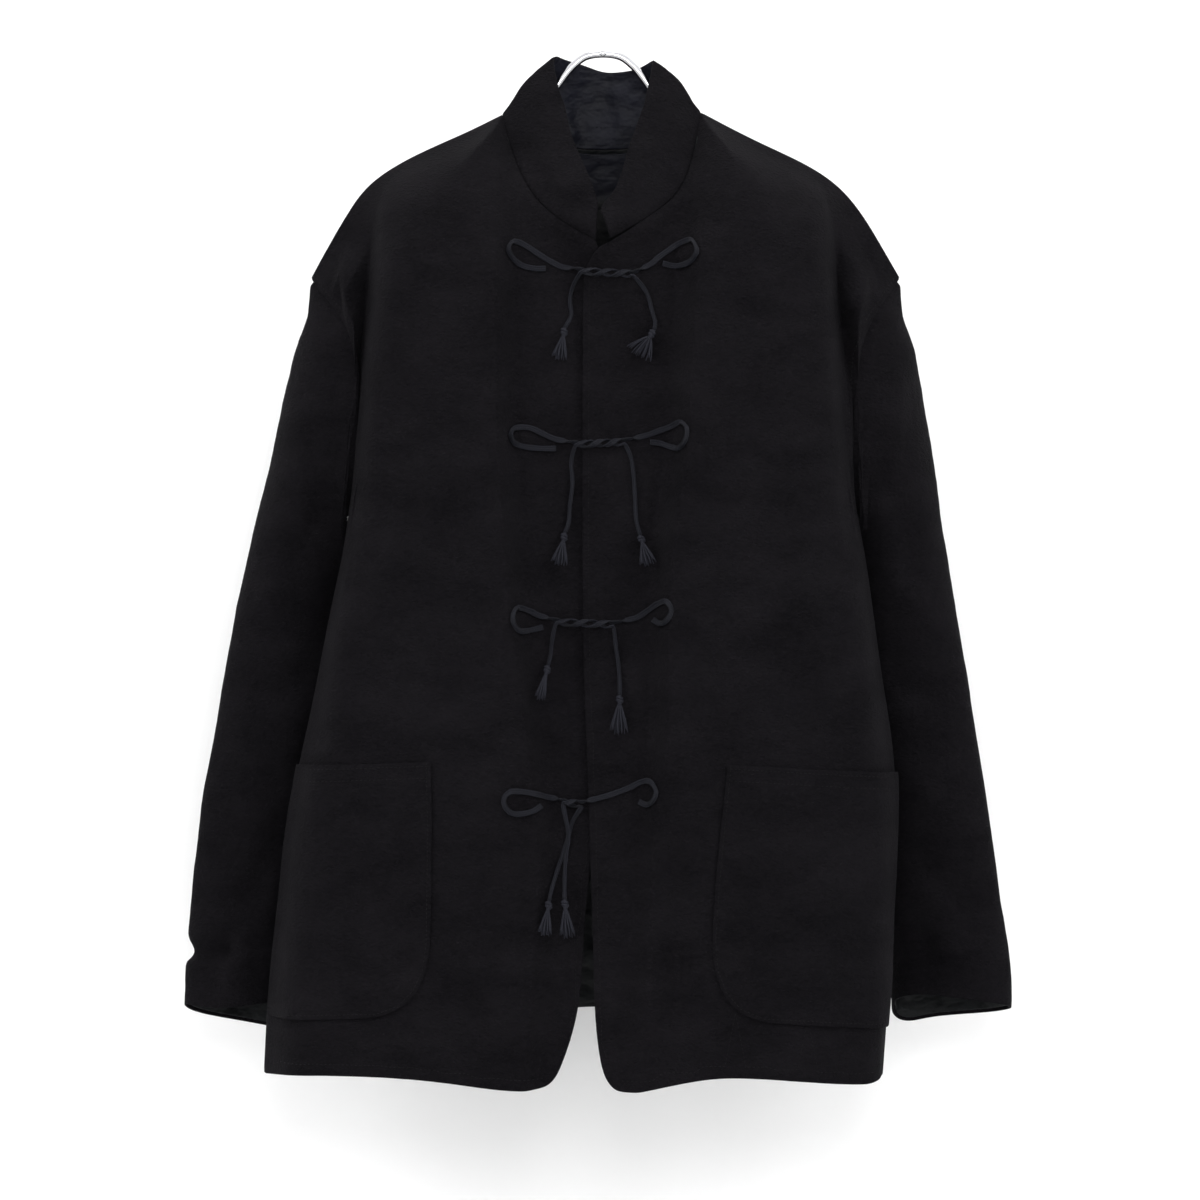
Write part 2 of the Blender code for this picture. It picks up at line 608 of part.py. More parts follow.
def sleeve_grid(side):
    ring = armhole_ring(side)
    count = len(ring)
    half = count // 2
    cuff_rows = CUFF_LEFT if side > 0 else CUFF_RIGHT
    grid = []
    for row, t in enumerate(SLEEVE_ROWS):
        line = []
        for j in range(count):
            angle = math.pi * j / half
            cuff = table(cuff_rows, "drop", "angle", math.degrees(angle))
            start = ring[j]
            drop = start[2] + (cuff - start[2]) * t
            hang = sleeve_section(side, angle, drop)
            mix = ease(t / (0.08 + 0.22 * math.sin(angle / 2) ** 2))
            point = start + (hang - start) * mix
            point[2] = drop
            if row == 0:
                outward = np.array([side, 0, 0.5])
                point = start + outward / np.linalg.norm(outward) * SEAM_GAP * 1.3
            if row > 0:
                point = clear_of_body(side, point, SLEEVE_ROOM[0] + SLEEVE_ROOM[1] * ease(t / 0.12))
            line.append(point)
        grid.append(line)
    return np.array(grid)


def tube_normals(world):
    normals = grid_normals(world, True)
    centre = world.mean(axis=1, keepdims=True)
    return facing_out(world, normals, centre)


def make_sleeve(side):
    world = to_world(sleeve_grid(side))
    normals = tube_normals(world)
    normals[0] = armhole_normals(side)
    underarm = normals.shape[1] // 2
    blend_normal(normals, (0, underarm), normals[0, underarm] * np.array([0, 1, 1]))
    name = "left" if side > 0 else "right"
    wall_from_grid("sleeve_" + name, world, world - normals * WALL * MM, "cloth", closed=True)
    first = SLEEVE_ROWS.index(CUFF_LINING_ROW)
    outer = world - normals * (WALL + LINING_GAP) * MM
    inner = outer - normals * LINING_WALL * MM
    cut = slice(first, None)
    outer = pull_in(outer[cut], CUFF_INSET * MM, ("bottom",))
    inner = pull_in(inner[cut], CUFF_INSET * MM, ("bottom",))
    wall_from_grid("cuff_lining_" + name, outer, inner, "satin", closed=True)


def collar_places():
    """Places along the collar's table where the panels' columns meet it."""
    last = len(COLLAR["seam_x"]) - 1
    start, end = COLLAR_NECK
    right = [start * c / NECK_COLUMNS for c in range(NECK_COLUMNS)]
    back = [start + (end - start) * c / BACK_NECK_COLUMNS for c in range(BACK_NECK_COLUMNS)]
    left = [end + (last - end) * c / NECK_COLUMNS for c in range(NECK_COLUMNS + 1)]
    return right + back + left


def make_collar():
    grid = []
    for r in range(COLLAR_ROWS + 1):
        t = r / COLLAR_ROWS
        line = []
        for place in collar_places():
            seam = collar_point("seam", place)
            top = collar_point("top", place)
            point = seam + (top - seam) * t
            lean = top - seam
            middle = np.array([0, NECK_MIDDLE_Y, seam[2]])
            out = seam - middle
            out[2] = 0
            out -= lean * np.dot(out, lean) / np.dot(lean, lean)
            out /= np.linalg.norm(out)
            point = point + out * COLLAR_BULGE * math.sin(math.pi * t)
            if r == 0:
                point[2] -= SEAM_GAP
            line.append(point)
        grid.append(line)
    world = to_world(np.array(grid))
    normals = facing_out(world, grid_normals(world, False), np.array([0, -0.005, world[..., 2].mean()]))
    normals[0] = neck_normals(world[0])
    wall_from_grid("collar", world, world - normals * WALL * MM, "cloth")


def make_neck_lining(world, normals):
    first = SHOULDER_COLUMNS
    last = BACK_COLUMNS - SHOULDER_COLUMNS
    part = (slice(0, NECK_LINING_ROWS), slice(first + 1, last))
    outer = (world - normals * (WALL + LINING_GAP) * MM)[part].copy()
    inner = outer - normals[part] * LINING_WALL * MM
    for sheet in (outer, inner):
        sheet[0, :, 2] -= NECK_LINING_DROP * MM
    wall_from_grid("neck_lining", outer, inner, "satin")


def at_place(side, x, drop):
    """Column and row of a front where its surface is at a given x and drop."""
    column = 9.0
    row = 12.0
    for _ in range(30):
        point = front_point(side, column, row)
        step = 0.05
        dc = (front_point(side, min(column + step, FRONT_COLUMNS), row) - point) / step
        dr = (front_point(side, column, min(row + step, 22.0)) - point) / step
        matrix = np.array([[dc[0], dr[0]], [dc[2], dr[2]]])
        delta = np.linalg.solve(matrix + np.eye(2) * 1e-9, np.array([x - point[0], drop - point[2]]))
        column = float(np.clip(column + delta[0], 0, FRONT_COLUMNS - 0.1))
        row = float(np.clip(row + delta[1], 0, 21.9))
    return column, row


def seat_on(tree, grid, lifts, gap):
    """Raise a patch's points until the whole patch is clear of the panel under it."""
    seated = grid + lifts * gap
    samples = [(a / 8, b / 8) for a in range(9) for b in range(9)]
    for _ in range(8):
        raised = np.zeros(grid.shape[:2])
        for r in range(grid.shape[0] - 1):
            for c in range(grid.shape[1] - 1):
                short = 0.0
                start, far = seated[r, c], seated[r + 1, c + 1]
                for a, b in samples:
                    corner = seated[r + 1, c] if b <= a else seated[r, c + 1]
                    first, second = (a, b) if b <= a else (b, a)
                    spot = start + first * (corner - start) + second * (far - corner)
                    near, normal, _, _ = tree.find_nearest(Vector(spot))
                    height = (Vector(spot) - near).dot(normal)
                    short = max(short, gap - height)
                for corner in ((r, c), (r, c + 1), (r + 1, c), (r + 1, c + 1)):
                    raised[corner] = max(raised[corner], short)
        seated = seated + lifts * raised[..., None]
        if raised.max() < 1e-5:
            break
    return seated


def make_pocket(side, world, normals, tree):
    rows = POCKET_LEFT if side > 0 else POCKET_RIGHT
    skew = POCKET_SKEW_LEFT if side > 0 else POCKET_SKEW_RIGHT
    grid = []
    lifts = []
    for drop, inner in zip(rows["drop"], rows["inner"]):
        line = []
        lift_line = []
        outer_x = abs(side_x(side, drop)) - POCKET_SIDE_GAP
        for c in range(POCKET_COLUMNS + 1):
            t = 1 - (1 - c / POCKET_COLUMNS) ** POCKET_TAPER
            x = side * (inner + (outer_x - inner) * t)
            column, row = at_place(side, x, drop + skew * t)
            c0 = int(min(column, FRONT_COLUMNS - 1))
            r0 = int(min(row, 21))
            fc = column - c0
            fr = row - r0
            spot = ((world[r0, c0] * (1 - fc) + world[r0, c0 + 1] * fc) * (1 - fr)
                    + (world[r0 + 1, c0] * (1 - fc) + world[r0 + 1, c0 + 1] * fc) * fr)
            lift = ((normals[r0, c0] * (1 - fc) + normals[r0, c0 + 1] * fc) * (1 - fr)
                    + (normals[r0 + 1, c0] * (1 - fc) + normals[r0 + 1, c0 + 1] * fc) * fr)
            line.append(spot)
            lift_line.append(lift / np.linalg.norm(lift))
        grid.append(line)
        lifts.append(lift_line)
    grid = np.array(grid)
    lifts = np.array(lifts)
    inner = seat_on(tree, grid, lifts, POCKET_GAP * MM)
    outer = inner + lifts * POCKET_WALL * MM
    outer[:2] += lifts[:2] * POCKET_BAND * MM
    wall_from_grid("pocket_left" if side > 0 else "pocket_right", outer, inner, "cloth")


def smooth_route(points, spacing):
    """Evenly spaced points on a smooth curve through a route's own points."""
    points = np.array(points, dtype=float)
    dense = []
    for k in range(len(points) - 1):
        a = points[max(k - 1, 0)]
        b = points[k]
        c = points[k + 1]
        d = points[min(k + 2, len(points) - 1)]
        for t in np.linspace(0, 1, 12, endpoint=False):
            dense.append(0.5 * (2 * b + (c - a) * t + (2 * a - 5 * b + 4 * c - d) * t * t
                                + (3 * b - a - 3 * c + d) * t ** 3))
    dense.append(points[-1])
    dense = np.array(dense)
    reach = np.concatenate([[0], np.cumsum(np.linalg.norm(np.diff(dense, axis=0), axis=1))])
    count = max(int(round(reach[-1] / spacing)), 2)
    where = np.linspace(0, reach[-1], count + 1)
    return np.stack([np.interp(where, reach, dense[:, axis]) for axis in range(3)], axis=1)


def outer_tree(world):
    """A search tree over a panel's outer face alone, with its faces pointing out."""
    rows, columns = world.shape[:2]
    verts = [Vector(point) for row in world for point in row]
    faces = []
    for r in range(rows - 1):
        for c in range(columns - 1):
            k = r * columns + c
            faces.append((k, k + columns, k + columns + 1))
            faces.append((k, k + columns + 1, k + 1))
    tree = BVHTree.FromPolygons(verts, faces)
    hit = tree.ray_cast(Vector((world[5, 6, 0], -0.4, world[5, 6, 2] - 0.003)), Vector((0, 1, 0)))
    if hit[1] is not None and hit[1].y > 0:
        tree = BVHTree.FromPolygons(verts, [face[::-1] for face in faces])
    return tree


def front_tree(objects):
    """A search tree over the fronts, which the ties lie on."""
    verts = []
    faces = []
    for obj in objects:
        start = len(verts)
        verts.extend(vertex.co.copy() for vertex in obj.data.vertices)
        faces.extend([start + index for index in polygon.vertices] for polygon in obj.data.polygons)
    return BVHTree.FromPolygons(verts, faces)


def cloth_y(tree, x, drop, reach):
    """The most forward cloth, in millimetres, within reach of a place."""
    best = 1e9
    for dx in (-reach, 0, reach):
        for dz in (-reach, 0, reach):
            start = Vector(((x + dx) * MM, -0.4, -(drop + dz) * MM))
            hit = tree.ray_cast(start, Vector((0, 1, 0)))
            if hit[0] is not None:
                best = min(best, hit[0].y / MM)
    return best


def tie_route(name, tree):
    """Points of a tie in millimetres: its loop, its share of the knot and its tail."""
    side, row = name.split("_")
    tie = TIES[name]
    knot = KNOTS[int(row)]
    radius = TIE_DIAMETER / 2
    lie = radius + 0.6
    points = [(x, cloth_y(tree, x, d, radius + 1) - lie, d) for x, d in tie["loop"]]
    start = np.array(knot["start"], dtype=float)
    end = np.array(knot["end"], dtype=float)
    along = (end - start) / np.linalg.norm(end - start)
    steps = int(round(KNOT_STEPS * knot["turns"]))
    twist = []
    lead = math.radians(45 if side == "right" else 225)
    for k in range(steps + 1):
        t = k / steps
        place = start + (end - start) * t
        angle = lead + 2 * math.pi * knot["turns"] * t
        floor = min(cloth_y(tree, place[0] + dx * along[0], place[1], radius + 1) for dx in (-5, 0, 5))
        axis_y = floor - (KNOT_RADIUS + radius + 0.7)
        up = KNOT_RADIUS * math.cos(angle)
        back = KNOT_RADIUS * math.sin(angle)
        twist.append((place[0], axis_y + back, place[1] - up))
    if side == "left":
        twist.reverse()
    points += twist
    layer = 0.0
    if name == "left_4":
        layer = TIE_DIAMETER + 0.8
    rises = [1.2] + [0.3] * (len(tie["tail"]) - 3) + [TASSEL_RISE / 3, TASSEL_RISE]
    for rise, (x, d) in zip(rises, tie["tail"]):
        points.append((x, cloth_y(tree, x, d, radius + 2) - lie - layer - rise, d))
    return smooth_route(points, TIE_SPACING)


def make_tube(name, points, diameter, finish, resolution=2):
    """A round rod or cord along points in metres, with filled caps."""
    curve = bpy.data.curves.new(name, "CURVE")
    curve.dimensions = "3D"
    curve.bevel_depth = diameter * MM / 2
    curve.bevel_resolution = resolution
    curve.use_fill_caps = True
    spline = curve.splines.new("POLY")
    spline.points.add(len(points) - 1)
    for point, place in zip(spline.points, points):
        point.co = (*place, 1.0)
    obj = bpy.data.objects.new(name, curve)
    COLLECTION.objects.link(obj)
    curve.materials.append(make_material(finish, name + "_" + finish))
    return obj


def make_tassel(name, tree, route):
    """A knot on the tie's end and its tassel: the strands grow from the faces under the knot."""
    x1, d1 = TIES[name]["tassel"]
    layer = TIE_DIAMETER + 1.0 if name == "left_4" else 0.0
    end = np.array([x1, cloth_y(tree, x1, d1, 6) - TASSEL_LIE - layer, d1])
    tie_way = route[-1] - route[-2]
    tie_way /= np.linalg.norm(tie_way)
    axis = end - route[-1]
    axis /= np.linalg.norm(axis)
    turn = math.acos(min(1.0, float(tie_way @ axis)))
    start = route[-1] + axis * (SEAM_GAP + KNOT_PROFILE["radius"][0] * math.tan(turn))
    length = float(np.linalg.norm(end - start))
    side_way = np.cross(axis, [0, 1, 0])
    side_way /= np.linalg.norm(side_way)
    front_way = np.cross(side_way, axis)
    work = bmesh.new()
    rings = []
    for radius, along in zip(KNOT_PROFILE["radius"], KNOT_PROFILE["along"]):
        ring = []
        for k in range(TASSEL_STRANDS):
            angle = 2 * math.pi * (k + 0.5) / TASSEL_STRANDS
            spot = start + axis * along + radius * (side_way * math.cos(angle)
                                                    + front_way * math.sin(angle))
            ring.append(work.verts.new(to_world(spot)))
        rings.append(ring)
    work.faces.new(rings[0][::-1])
    for low, high in zip(rings[:-1], rings[1:]):
        for k in range(TASSEL_STRANDS):
            n = (k + 1) % TASSEL_STRANDS
            work.faces.new([low[k], low[n], high[n], high[k]])
    centre = work.verts.new(to_world(start + axis * (KNOT_PROFILE["along"][-1] + 0.6)))
    roots = [work.faces.new([rings[-1][k], rings[-1][(k + 1) % TASSEL_STRANDS], centre])
             for k in range(TASSEL_STRANDS)]
    bmesh.ops.recalc_face_normals(work, faces=work.faces[:])
    for index, root in enumerate(roots):
        spread = root.calc_center_median() - centre.co
        bmesh.ops.inset_individual(work, faces=[root], thickness=STRAND_INSET * MM)
        reach = length - KNOT_PROFILE["along"][-1] - (index * 3 % 4) * 0.9
        for _ in range(2):
            grown = bmesh.ops.extrude_discrete_faces(work, faces=[root])
            root = grown["faces"][0]
            shift = Vector(to_world(axis * reach / 2)) + spread * STRAND_SPREAD
            bmesh.ops.translate(work, verts=root.verts[:], vec=shift)
            bmesh.ops.scale(work, verts=root.verts[:], vec=[STRAND_TAPER] * 3,
                            space=Matrix.Translation(-root.calc_center_median()))
    if work.calc_volume(signed=True) < 0:
        bmesh.ops.reverse_faces(work, faces=work.faces[:])
    mesh = bpy.data.meshes.new(name)
    work.to_mesh(mesh)
    work.free()
    return add_object("tassel_" + name, mesh, "braid")


def make_hanger():
    right = [(-x, d) for x, d in zip(ARM["x"], ARM["drop"])][::-1]
    left = list(zip(ARM["x"], ARM["drop"]))
    arch = list(zip(ARCH["x"], ARCH["drop"]))
    route = smooth_route([(x, 0.0, d) for x, d in right + arch + left], 8.0)
    make_tube("hanger", to_world(route), ROD_DIAMETER, "chrome")
    mesh = bpy.data.meshes.new("hanger_rivet")
    work = bmesh.new()
    bmesh.ops.create_uvsphere(work, u_segments=12, v_segments=8, radius=RIVET_RADIUS * MM)
    bmesh.ops.scale(work, verts=work.verts[:], vec=(1, RIVET_FLATTENING, 1))
    reach = ROD_DIAMETER / 2 + RIVET_RADIUS * RIVET_FLATTENING + SEAM_GAP
    bmesh.ops.translate(work, verts=work.verts[:], vec=(0, -reach * MM, ROD_DIAMETER / 2 * MM))
    work.to_mesh(mesh)
    work.free()
    add_object("hanger_rivet", mesh, "chrome")


def build():
    fronts = {}
    for side in (1, -1):
        fronts[side] = make_front(side)
    back_world, back_normals = make_back()
    for side in (1, -1):
        make_sleeve(side)
        make_pocket(side, fronts[side][1], fronts[side][2], outer_tree(fronts[side][1]))
    make_collar()
    make_neck_lining(back_world, back_normals)
    tree = front_tree([fronts[1][0], fronts[-1][0]])
    for name in TIES:
        route = tie_route(name, tree)
        make_tube("tie_" + name, to_world(route), TIE_DIAMETER, "braid")
        make_tassel(name, tree, route)
    make_hanger()


clear_scene()
COLLECTION = bpy.data.collections.new("reversible_jacket")
bpy.context.scene.collection.children.link(COLLECTION)
build()
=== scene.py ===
"""A napped black jacket on a chrome rod hanger: cloth, satin, braid ties, tassels and stitching.

Metres, +Z up, front towards -Y, the wearer's left at +X. Tables are in millimetres: x to the
wearer's left, y towards the back, and drop below the hanger's arch.
"""
import math

import bmesh
import bpy
import numpy as np
from mathutils import Matrix, Vector, noise
from mathutils.bvhtree import BVHTree
from mathutils.kdtree import KDTree


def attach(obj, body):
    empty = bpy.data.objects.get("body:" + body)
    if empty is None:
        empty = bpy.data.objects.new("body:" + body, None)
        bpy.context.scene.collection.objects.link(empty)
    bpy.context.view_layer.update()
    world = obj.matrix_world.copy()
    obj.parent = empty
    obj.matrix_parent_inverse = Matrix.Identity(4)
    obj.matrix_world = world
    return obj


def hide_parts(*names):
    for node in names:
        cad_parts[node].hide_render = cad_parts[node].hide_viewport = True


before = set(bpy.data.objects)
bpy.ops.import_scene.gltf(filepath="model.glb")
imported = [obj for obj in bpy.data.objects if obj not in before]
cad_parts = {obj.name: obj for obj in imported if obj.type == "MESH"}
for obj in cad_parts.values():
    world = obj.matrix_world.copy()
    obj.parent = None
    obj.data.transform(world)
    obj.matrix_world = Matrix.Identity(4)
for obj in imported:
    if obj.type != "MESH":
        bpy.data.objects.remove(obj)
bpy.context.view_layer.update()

MM = 0.001
CAMERA_PLACE = (-0.0024, -3.0, -0.4338)
CAMERA_LENS = 112.5
WALL_Y = 0.17
FLOOR_Z = -1.12
ROOM = 12.0

BRAID_WIDTH = 4.5
BRAID_THICKNESS = 1.6
TAIL_NARROWING = 0.3
BRAID_SIDES = 18
BRAID_RIDGES = 0.3
BRAID_STEP = 2.4
KNOT_RADIUS = 2.9
KNOT_SPREAD = 2.5
TASSEL_YARNS = 17
YARN_RADIUS = 0.55
TASSEL_HALF = 7.4
TASSEL_DEPTH = 2.6
ROD_RADIUS = 3.0
STITCH_LENGTH = 2.5
STITCH_GAP = 0.9
STITCH_RADIUS = 0.26

# Each tie: x and drop of its sewn loop, of the tail that hangs free, and of its tassel's tip.
TIES = {
    "right_1": dict(
        loop=[(-45, 173), (-53, 173), (-63, 171), (-70, 166), (-74, 159), (-72, 153), (-67, 152),
              (-59, 156), (-50, 162), (-40, 168), (-31, 172)],
        tail=[(34, 192), (38, 205), (41, 216), (40, 222)], tassel=(28, 243), spread=1.8),
    "left_1": dict(
        loop=[(47, 169), (57, 171), (67, 169), (73, 162), (72, 155), (68, 151), (60, 153),
              (51, 159), (44, 164), (37, 170)],
        tail=[(-24, 188), (-26, 199), (-25, 210), (-30, 220)], tassel=(-34, 245), spread=0.9),
    "right_2": dict(
        loop=[(-37, 315), (-48, 315), (-60, 314), (-69, 311), (-72, 304), (-68, 299), (-57, 299),
              (-46, 304), (-36, 308)],
        tail=[(22, 323), (24, 337), (25, 353), (26, 371), (29, 383)], tassel=(36, 406), spread=1.0),
    "left_2": dict(
        loop=[(37, 310), (45, 311), (53, 314), (59, 315), (64, 309), (65, 300), (60, 295), (53, 298),
              (44, 301), (33, 305)],
        tail=[(-25, 326), (-24, 342), (-26, 360), (-27, 373), (-30, 381)], tassel=(-34, 406),
        spread=1.0),
    "right_3": dict(
        loop=[(-47, 455), (-55, 457), (-64, 458), (-69, 453), (-70, 446), (-67, 440), (-58, 442),
              (-50, 446)],
        tail=[(10, 470), (12, 484), (13, 498), (13, 508)], tassel=(13, 538), spread=1.1),
    "left_3": dict(
        loop=[(39, 449), (44, 452), (49, 450), (53, 442), (49, 435), (42, 437), (35, 442), (25, 448)],
        tail=[(-40, 466), (-41, 476), (-43, 485)], tassel=(-49, 511), spread=0.6),
    "right_4": dict(
        loop=[(-48, 594), (-54, 598), (-62, 600), (-70, 600), (-76, 595), (-77, 588), (-72, 583),
              (-63, 583), (-52, 585), (-42, 588)],
        tail=[(-24, 607), (-27, 618), (-31, 631), (-36, 646), (-40, 659), (-42, 668)],
        tassel=(-45, 694), spread=0.8),
    "left_4": dict(
        loop=[(28, 591), (34, 593), (39, 589), (41, 582), (36, 575), (29, 576), (21, 580), (8, 585),
              (-6, 589)],
        tail=[(-27, 617), (-29, 634), (-30, 651), (-30, 667)], tassel=(-27, 696), spread=0.9),
}
# Centre line of each half knot, from the wearer's right to the left, and its turns.
KNOTS = {
    1: dict(start=(-18, 176), end=(24, 178), turns=1.5),
    2: dict(start=(-22, 312), end=(17, 310), turns=1.5),
    3: dict(start=(-37, 451), end=(8, 453), turns=1.5),
    4: dict(start=(-31, 592), end=(-17, 593), turns=0.5),
}
TASSEL_RISE = 3.0
TASSEL_LIE = 6.4
ARCH = dict(x=[-46, -42, -37.6, -30.4, -24, -14, 0, 14, 24, 30.4, 37.6, 42, 46],
            drop=[41, 33, 24.2, 14, 6.6, -0.8, -3, -0.8, 6.6, 14, 24.2, 33, 41])
ARM = dict(x=[52, 64, 85, 106, 133, 159, 173], drop=[49, 55, 61.5, 69.5, 81.5, 93.5, 101])

# Soft folds laid in the cloth: two ends as (x, drop), half width and height, out or in.
FRONT_FOLDS = [
    ((-86, 150), (-96, 330), 15, 2.4),
    ((-112, 175), (-128, 420), 20, -2.2),
    ((-150, 130), (-158, 300), 16, 2.0),
    ((-60, 560), (-88, 730), 17, -2.6),
    ((-96, 600), (-74, 790), 14, 2.6),
    ((-128, 620), (-146, 560), 12, -1.4),
    ((-30, 640), (-36, 780), 9, -2.0),
    ((-180, 400), (-206, 560), 18, 2.0),
    ((-176, 240), (-184, 420), 12, -1.8),
    ((100, 150), (112, 340), 18, -1.8),
    ((136, 130), (150, 330), 16, 1.8),
    ((70, 560), (96, 770), 18, 2.6),
    ((40, 600), (52, 790), 13, -2.4),
    ((112, 420), (104, 560), 20, -1.8),
    ((150, 350), (190, 540), 18, 1.8),
    ((178, 230), (186, 400), 12, -1.8),
    ((24, 200), (28, 430), 10, -1.3),
    ((34, 460), (30, 600), 10, 1.2),
    ((-26, 200), (-30, 300), 9, 1.0),
    ((-34, 330), (-34, 440), 10, -1.2),
    ((-150, 775), (-166, 806), 9, 1.6),
    ((150, 780), (140, 808), 10, 1.5),
]
FOLD_DEPTH = 1.5
# The long fold down each front: where its ridge runs, in x and drop.
LONG_FOLDS = {
    "front_right": dict(drop=[60, 154, 300, 390, 452, 560, 640, 816],
                        x=[-82, -83, -82.6, -77, -71.5, -57, -50, -62]),
    "front_left": dict(drop=[60, 154, 246, 321, 390, 452, 543, 590, 816],
                       x=[78, 75, 69.2, 64.6, 53, 50.5, 50.5, 42, 29]),
}
LONG_FOLD_RISE = (2.6, 4.6)
LONG_FOLD_SINK = (3.2, 8.0, 12.0)
BACK_FOLDS = [
    ((-60, 110), (-150, 260), 20, 3.0),
    ((52, 104), (140, 250), 22, -2.6),
    ((-20, 120), (-30, 300), 16, -2.0),
    ((24, 116), (30, 340), 18, 2.2),
    ((-170, 210), (-186, 420), 16, -2.8),
    ((168, 220), (182, 400), 15, 2.6),
    ((-120, 300), (-96, 560), 22, 2.4),
    ((-66, 420), (-78, 760), 18, -3.0),
    ((60, 380), (72, 740), 20, 3.0),
    ((110, 340), (132, 640), 20, -2.4),
    ((0, 460), (-8, 750), 16, -2.2),
    ((-190, 520), (-206, 790), 18, 2.4),
    ((180, 500), (188, 780), 18, -2.4),
    ((-140, 640), (-146, 790), 14, -1.8),
    ((22, 620), (34, 765), 13, 1.8),
]
SLEEVE_FOLDS = {
    ("right", "front"): [
        ((-216, 330), (-262, 420), 13, -2.6),
        ((-224, 400), (-276, 440), 11, 2.0),
        ((-220, 470), (-292, 520), 13, -2.2),
        ((-236, 560), (-300, 540), 14, 2.0),
        ((-250, 600), (-306, 690), 15, -2.2),
        ((-386, 734), (-290, 716), 6.5, -7.5),
        ((-386, 716), (-296, 702), 6, 2.8),
        ((-276, 690), (-300, 752), 10, 2.2),
        ((-246, 250), (-232, 350), 10, -1.6),
        ((-262, 640), (-254, 750), 12, 1.8),
    ],
    ("right", "back"): [
        ((-226, 300), (-280, 420), 14, 2.4),
        ((-220, 420), (-296, 480), 13, -2.6),
        ((-226, 480), (-304, 560), 14, 2.2),
        ((-250, 600), (-320, 660), 15, -2.0),
        ((-262, 700), (-322, 720), 9, 2.0),
    ],
    ("left", "front"): [
        ((214, 320), (248, 430), 13, -2.6),
        ((222, 400), (270, 450), 11, 2.2),
        ((214, 480), (282, 540), 13, -2.0),
        ((230, 560), (296, 610), 14, 2.0),
        ((244, 640), (304, 700), 14, -2.2),
        ((262, 706), (318, 724), 10, 1.8),
        ((246, 240), (232, 340), 10, -1.6),
        ((250, 690), (256, 760), 10, -1.6),
    ],
    ("left", "back"): [
        ((226, 290), (262, 410), 14, -2.4),
        ((218, 400), (280, 470), 13, 2.4),
        ((222, 500), (296, 560), 14, -2.2),
        ((246, 620), (314, 650), 14, 2.2),
        ((258, 700), (312, 730), 10, -1.8),
    ],
}

COLLAR_FOLDS = [
    ((-60, 40), (-22, 120), 9, 1.4),
    ((-46, 30), (-12, 96), 7, -1.2),
    ((56, 40), (22, 116), 9, 1.4),
    ((44, 34), (14, 92), 7, -1.2),
    ((-20, 20), (-14, 66), 6, 1.2),
    ((8, 16), (14, 66), 7, -1.3),
]

# Where an edge of the cloth is crisp, and which faces are its inside.
SHARP_ANGLE = math.radians(48)
RIM_EDGE = 2.8
RIM_CREASE = 0.9
INSIDE_LEAN = -0.3
REGION_LEAN = -0.4
REGION_FACES = 30

# Sewn seams: how far the cloth is pressed, swells and tucks beside them, with widths in millimetres.
SEAM_REACH = 1.2
SEAM_STEP = 1.5
SEAM_PRESS = 0.4
PRESS_WIDTH = 2.6
SEAM_SWELL = 0.3
SWELL_PLACE = 6.5
SWELL_WIDTH = 3.2
SLEEVE_TUCK = 3.4
TUCK_WIDTH = 2.2
LINING_CLEAR = 2.6
LINING_DROP = 760
COLLAR_FLATTEN = 2.2
COLLAR_HALF = 45
NECK_FILL = 4.0
NECK_FILL_REACH = 13.0
LEAF_CLOSE = 5.5
NECK_CLEAR_HALF = 130
NECK_CLEAR_DROP = 215
NECK_CLEAR_FADE = 40

# Unevenness of hanging cloth: how many waves to a metre, their depth and their offset in the noise.
BROAD_WAVES = (26.0, 1.5, 3.0)
BODY_WRINKLES = (160.0, 0.25, 7.0)
WRINKLES = (160.0, 0.35, 7.0)
COLLAR_WAVES = (60.0, 1.2, 11.0)

# Half width and depth of the flattened body, in metres, for the way that its cloth faces.
BODY_WIDTH = 0.235
BODY_DEPTH = 0.078

# Colours, from the dark to the light of each finish.
CLOTH_COLOUR = (0.0088, 0.0083, 0.0098)
CLOTH_TONES = ((0.0017, 0.0015, 0.0021), (0.0068, 0.0061, 0.0074))
INNER_SATIN_TONES = ((0.0010, 0.0015, 0.0021), (0.0026, 0.0036, 0.0044))
# The neck satin's tones are a lighter copy of the inner satin: painted light standing in for the light
# that falls into the neck opening.
NECK_SATIN_LIT_TONES = ((0.0048, 0.0051, 0.0090), (0.0108, 0.0114, 0.0186))
# Level below which the neck satin is painted dark as shade deep in the neck opening.
NECK_SATIN_SHADE_Z = -0.1085
BRAID_COLOUR = (0.017, 0.017, 0.025)
BRAID_TONES = ((0.0014, 0.0016, 0.0032), (0.0116, 0.0122, 0.0196))
YARN_TONES = ((0.0036, 0.0038, 0.0062), (0.0220, 0.0226, 0.0320))
THREAD_TONES = ((0.0022, 0.0020, 0.0024), (0.0095, 0.0088, 0.0100))
CHROME_COLOUR = (0.80, 0.80, 0.82)
CHROME_TONES = ((0.48, 0.48, 0.50), (0.58, 0.58, 0.60))

# Sizes of the patterns: noise scales, the stretch of each, and rib pitches in metres.
TUFT_SCALE = 420.0
TUFT_STRETCH = (0.75, 0.75, 1.2)
FIBRE_SCALE = 2600.0
PATCH_SCALE = 26.0
PATCH_STRETCH = (0.7, 0.7, 1.25)
CRUMPLE_SCALE = 34.0
CRUMPLE_STRETCH = (1.0, 1.0, 1.5)
CRUMPLE_DEPTH = 0.007
NAP_DEPTH = 0.0010
SATIN_PITCH = 0.0009
BRAID_PITCH = 0.0015
BRAID_FUZZ_SCALE = 1500.0
YARN_PITCH = 0.0011
HAZE_SCALE = 320.0
CHROME_PATCH_SCALE = 60.0

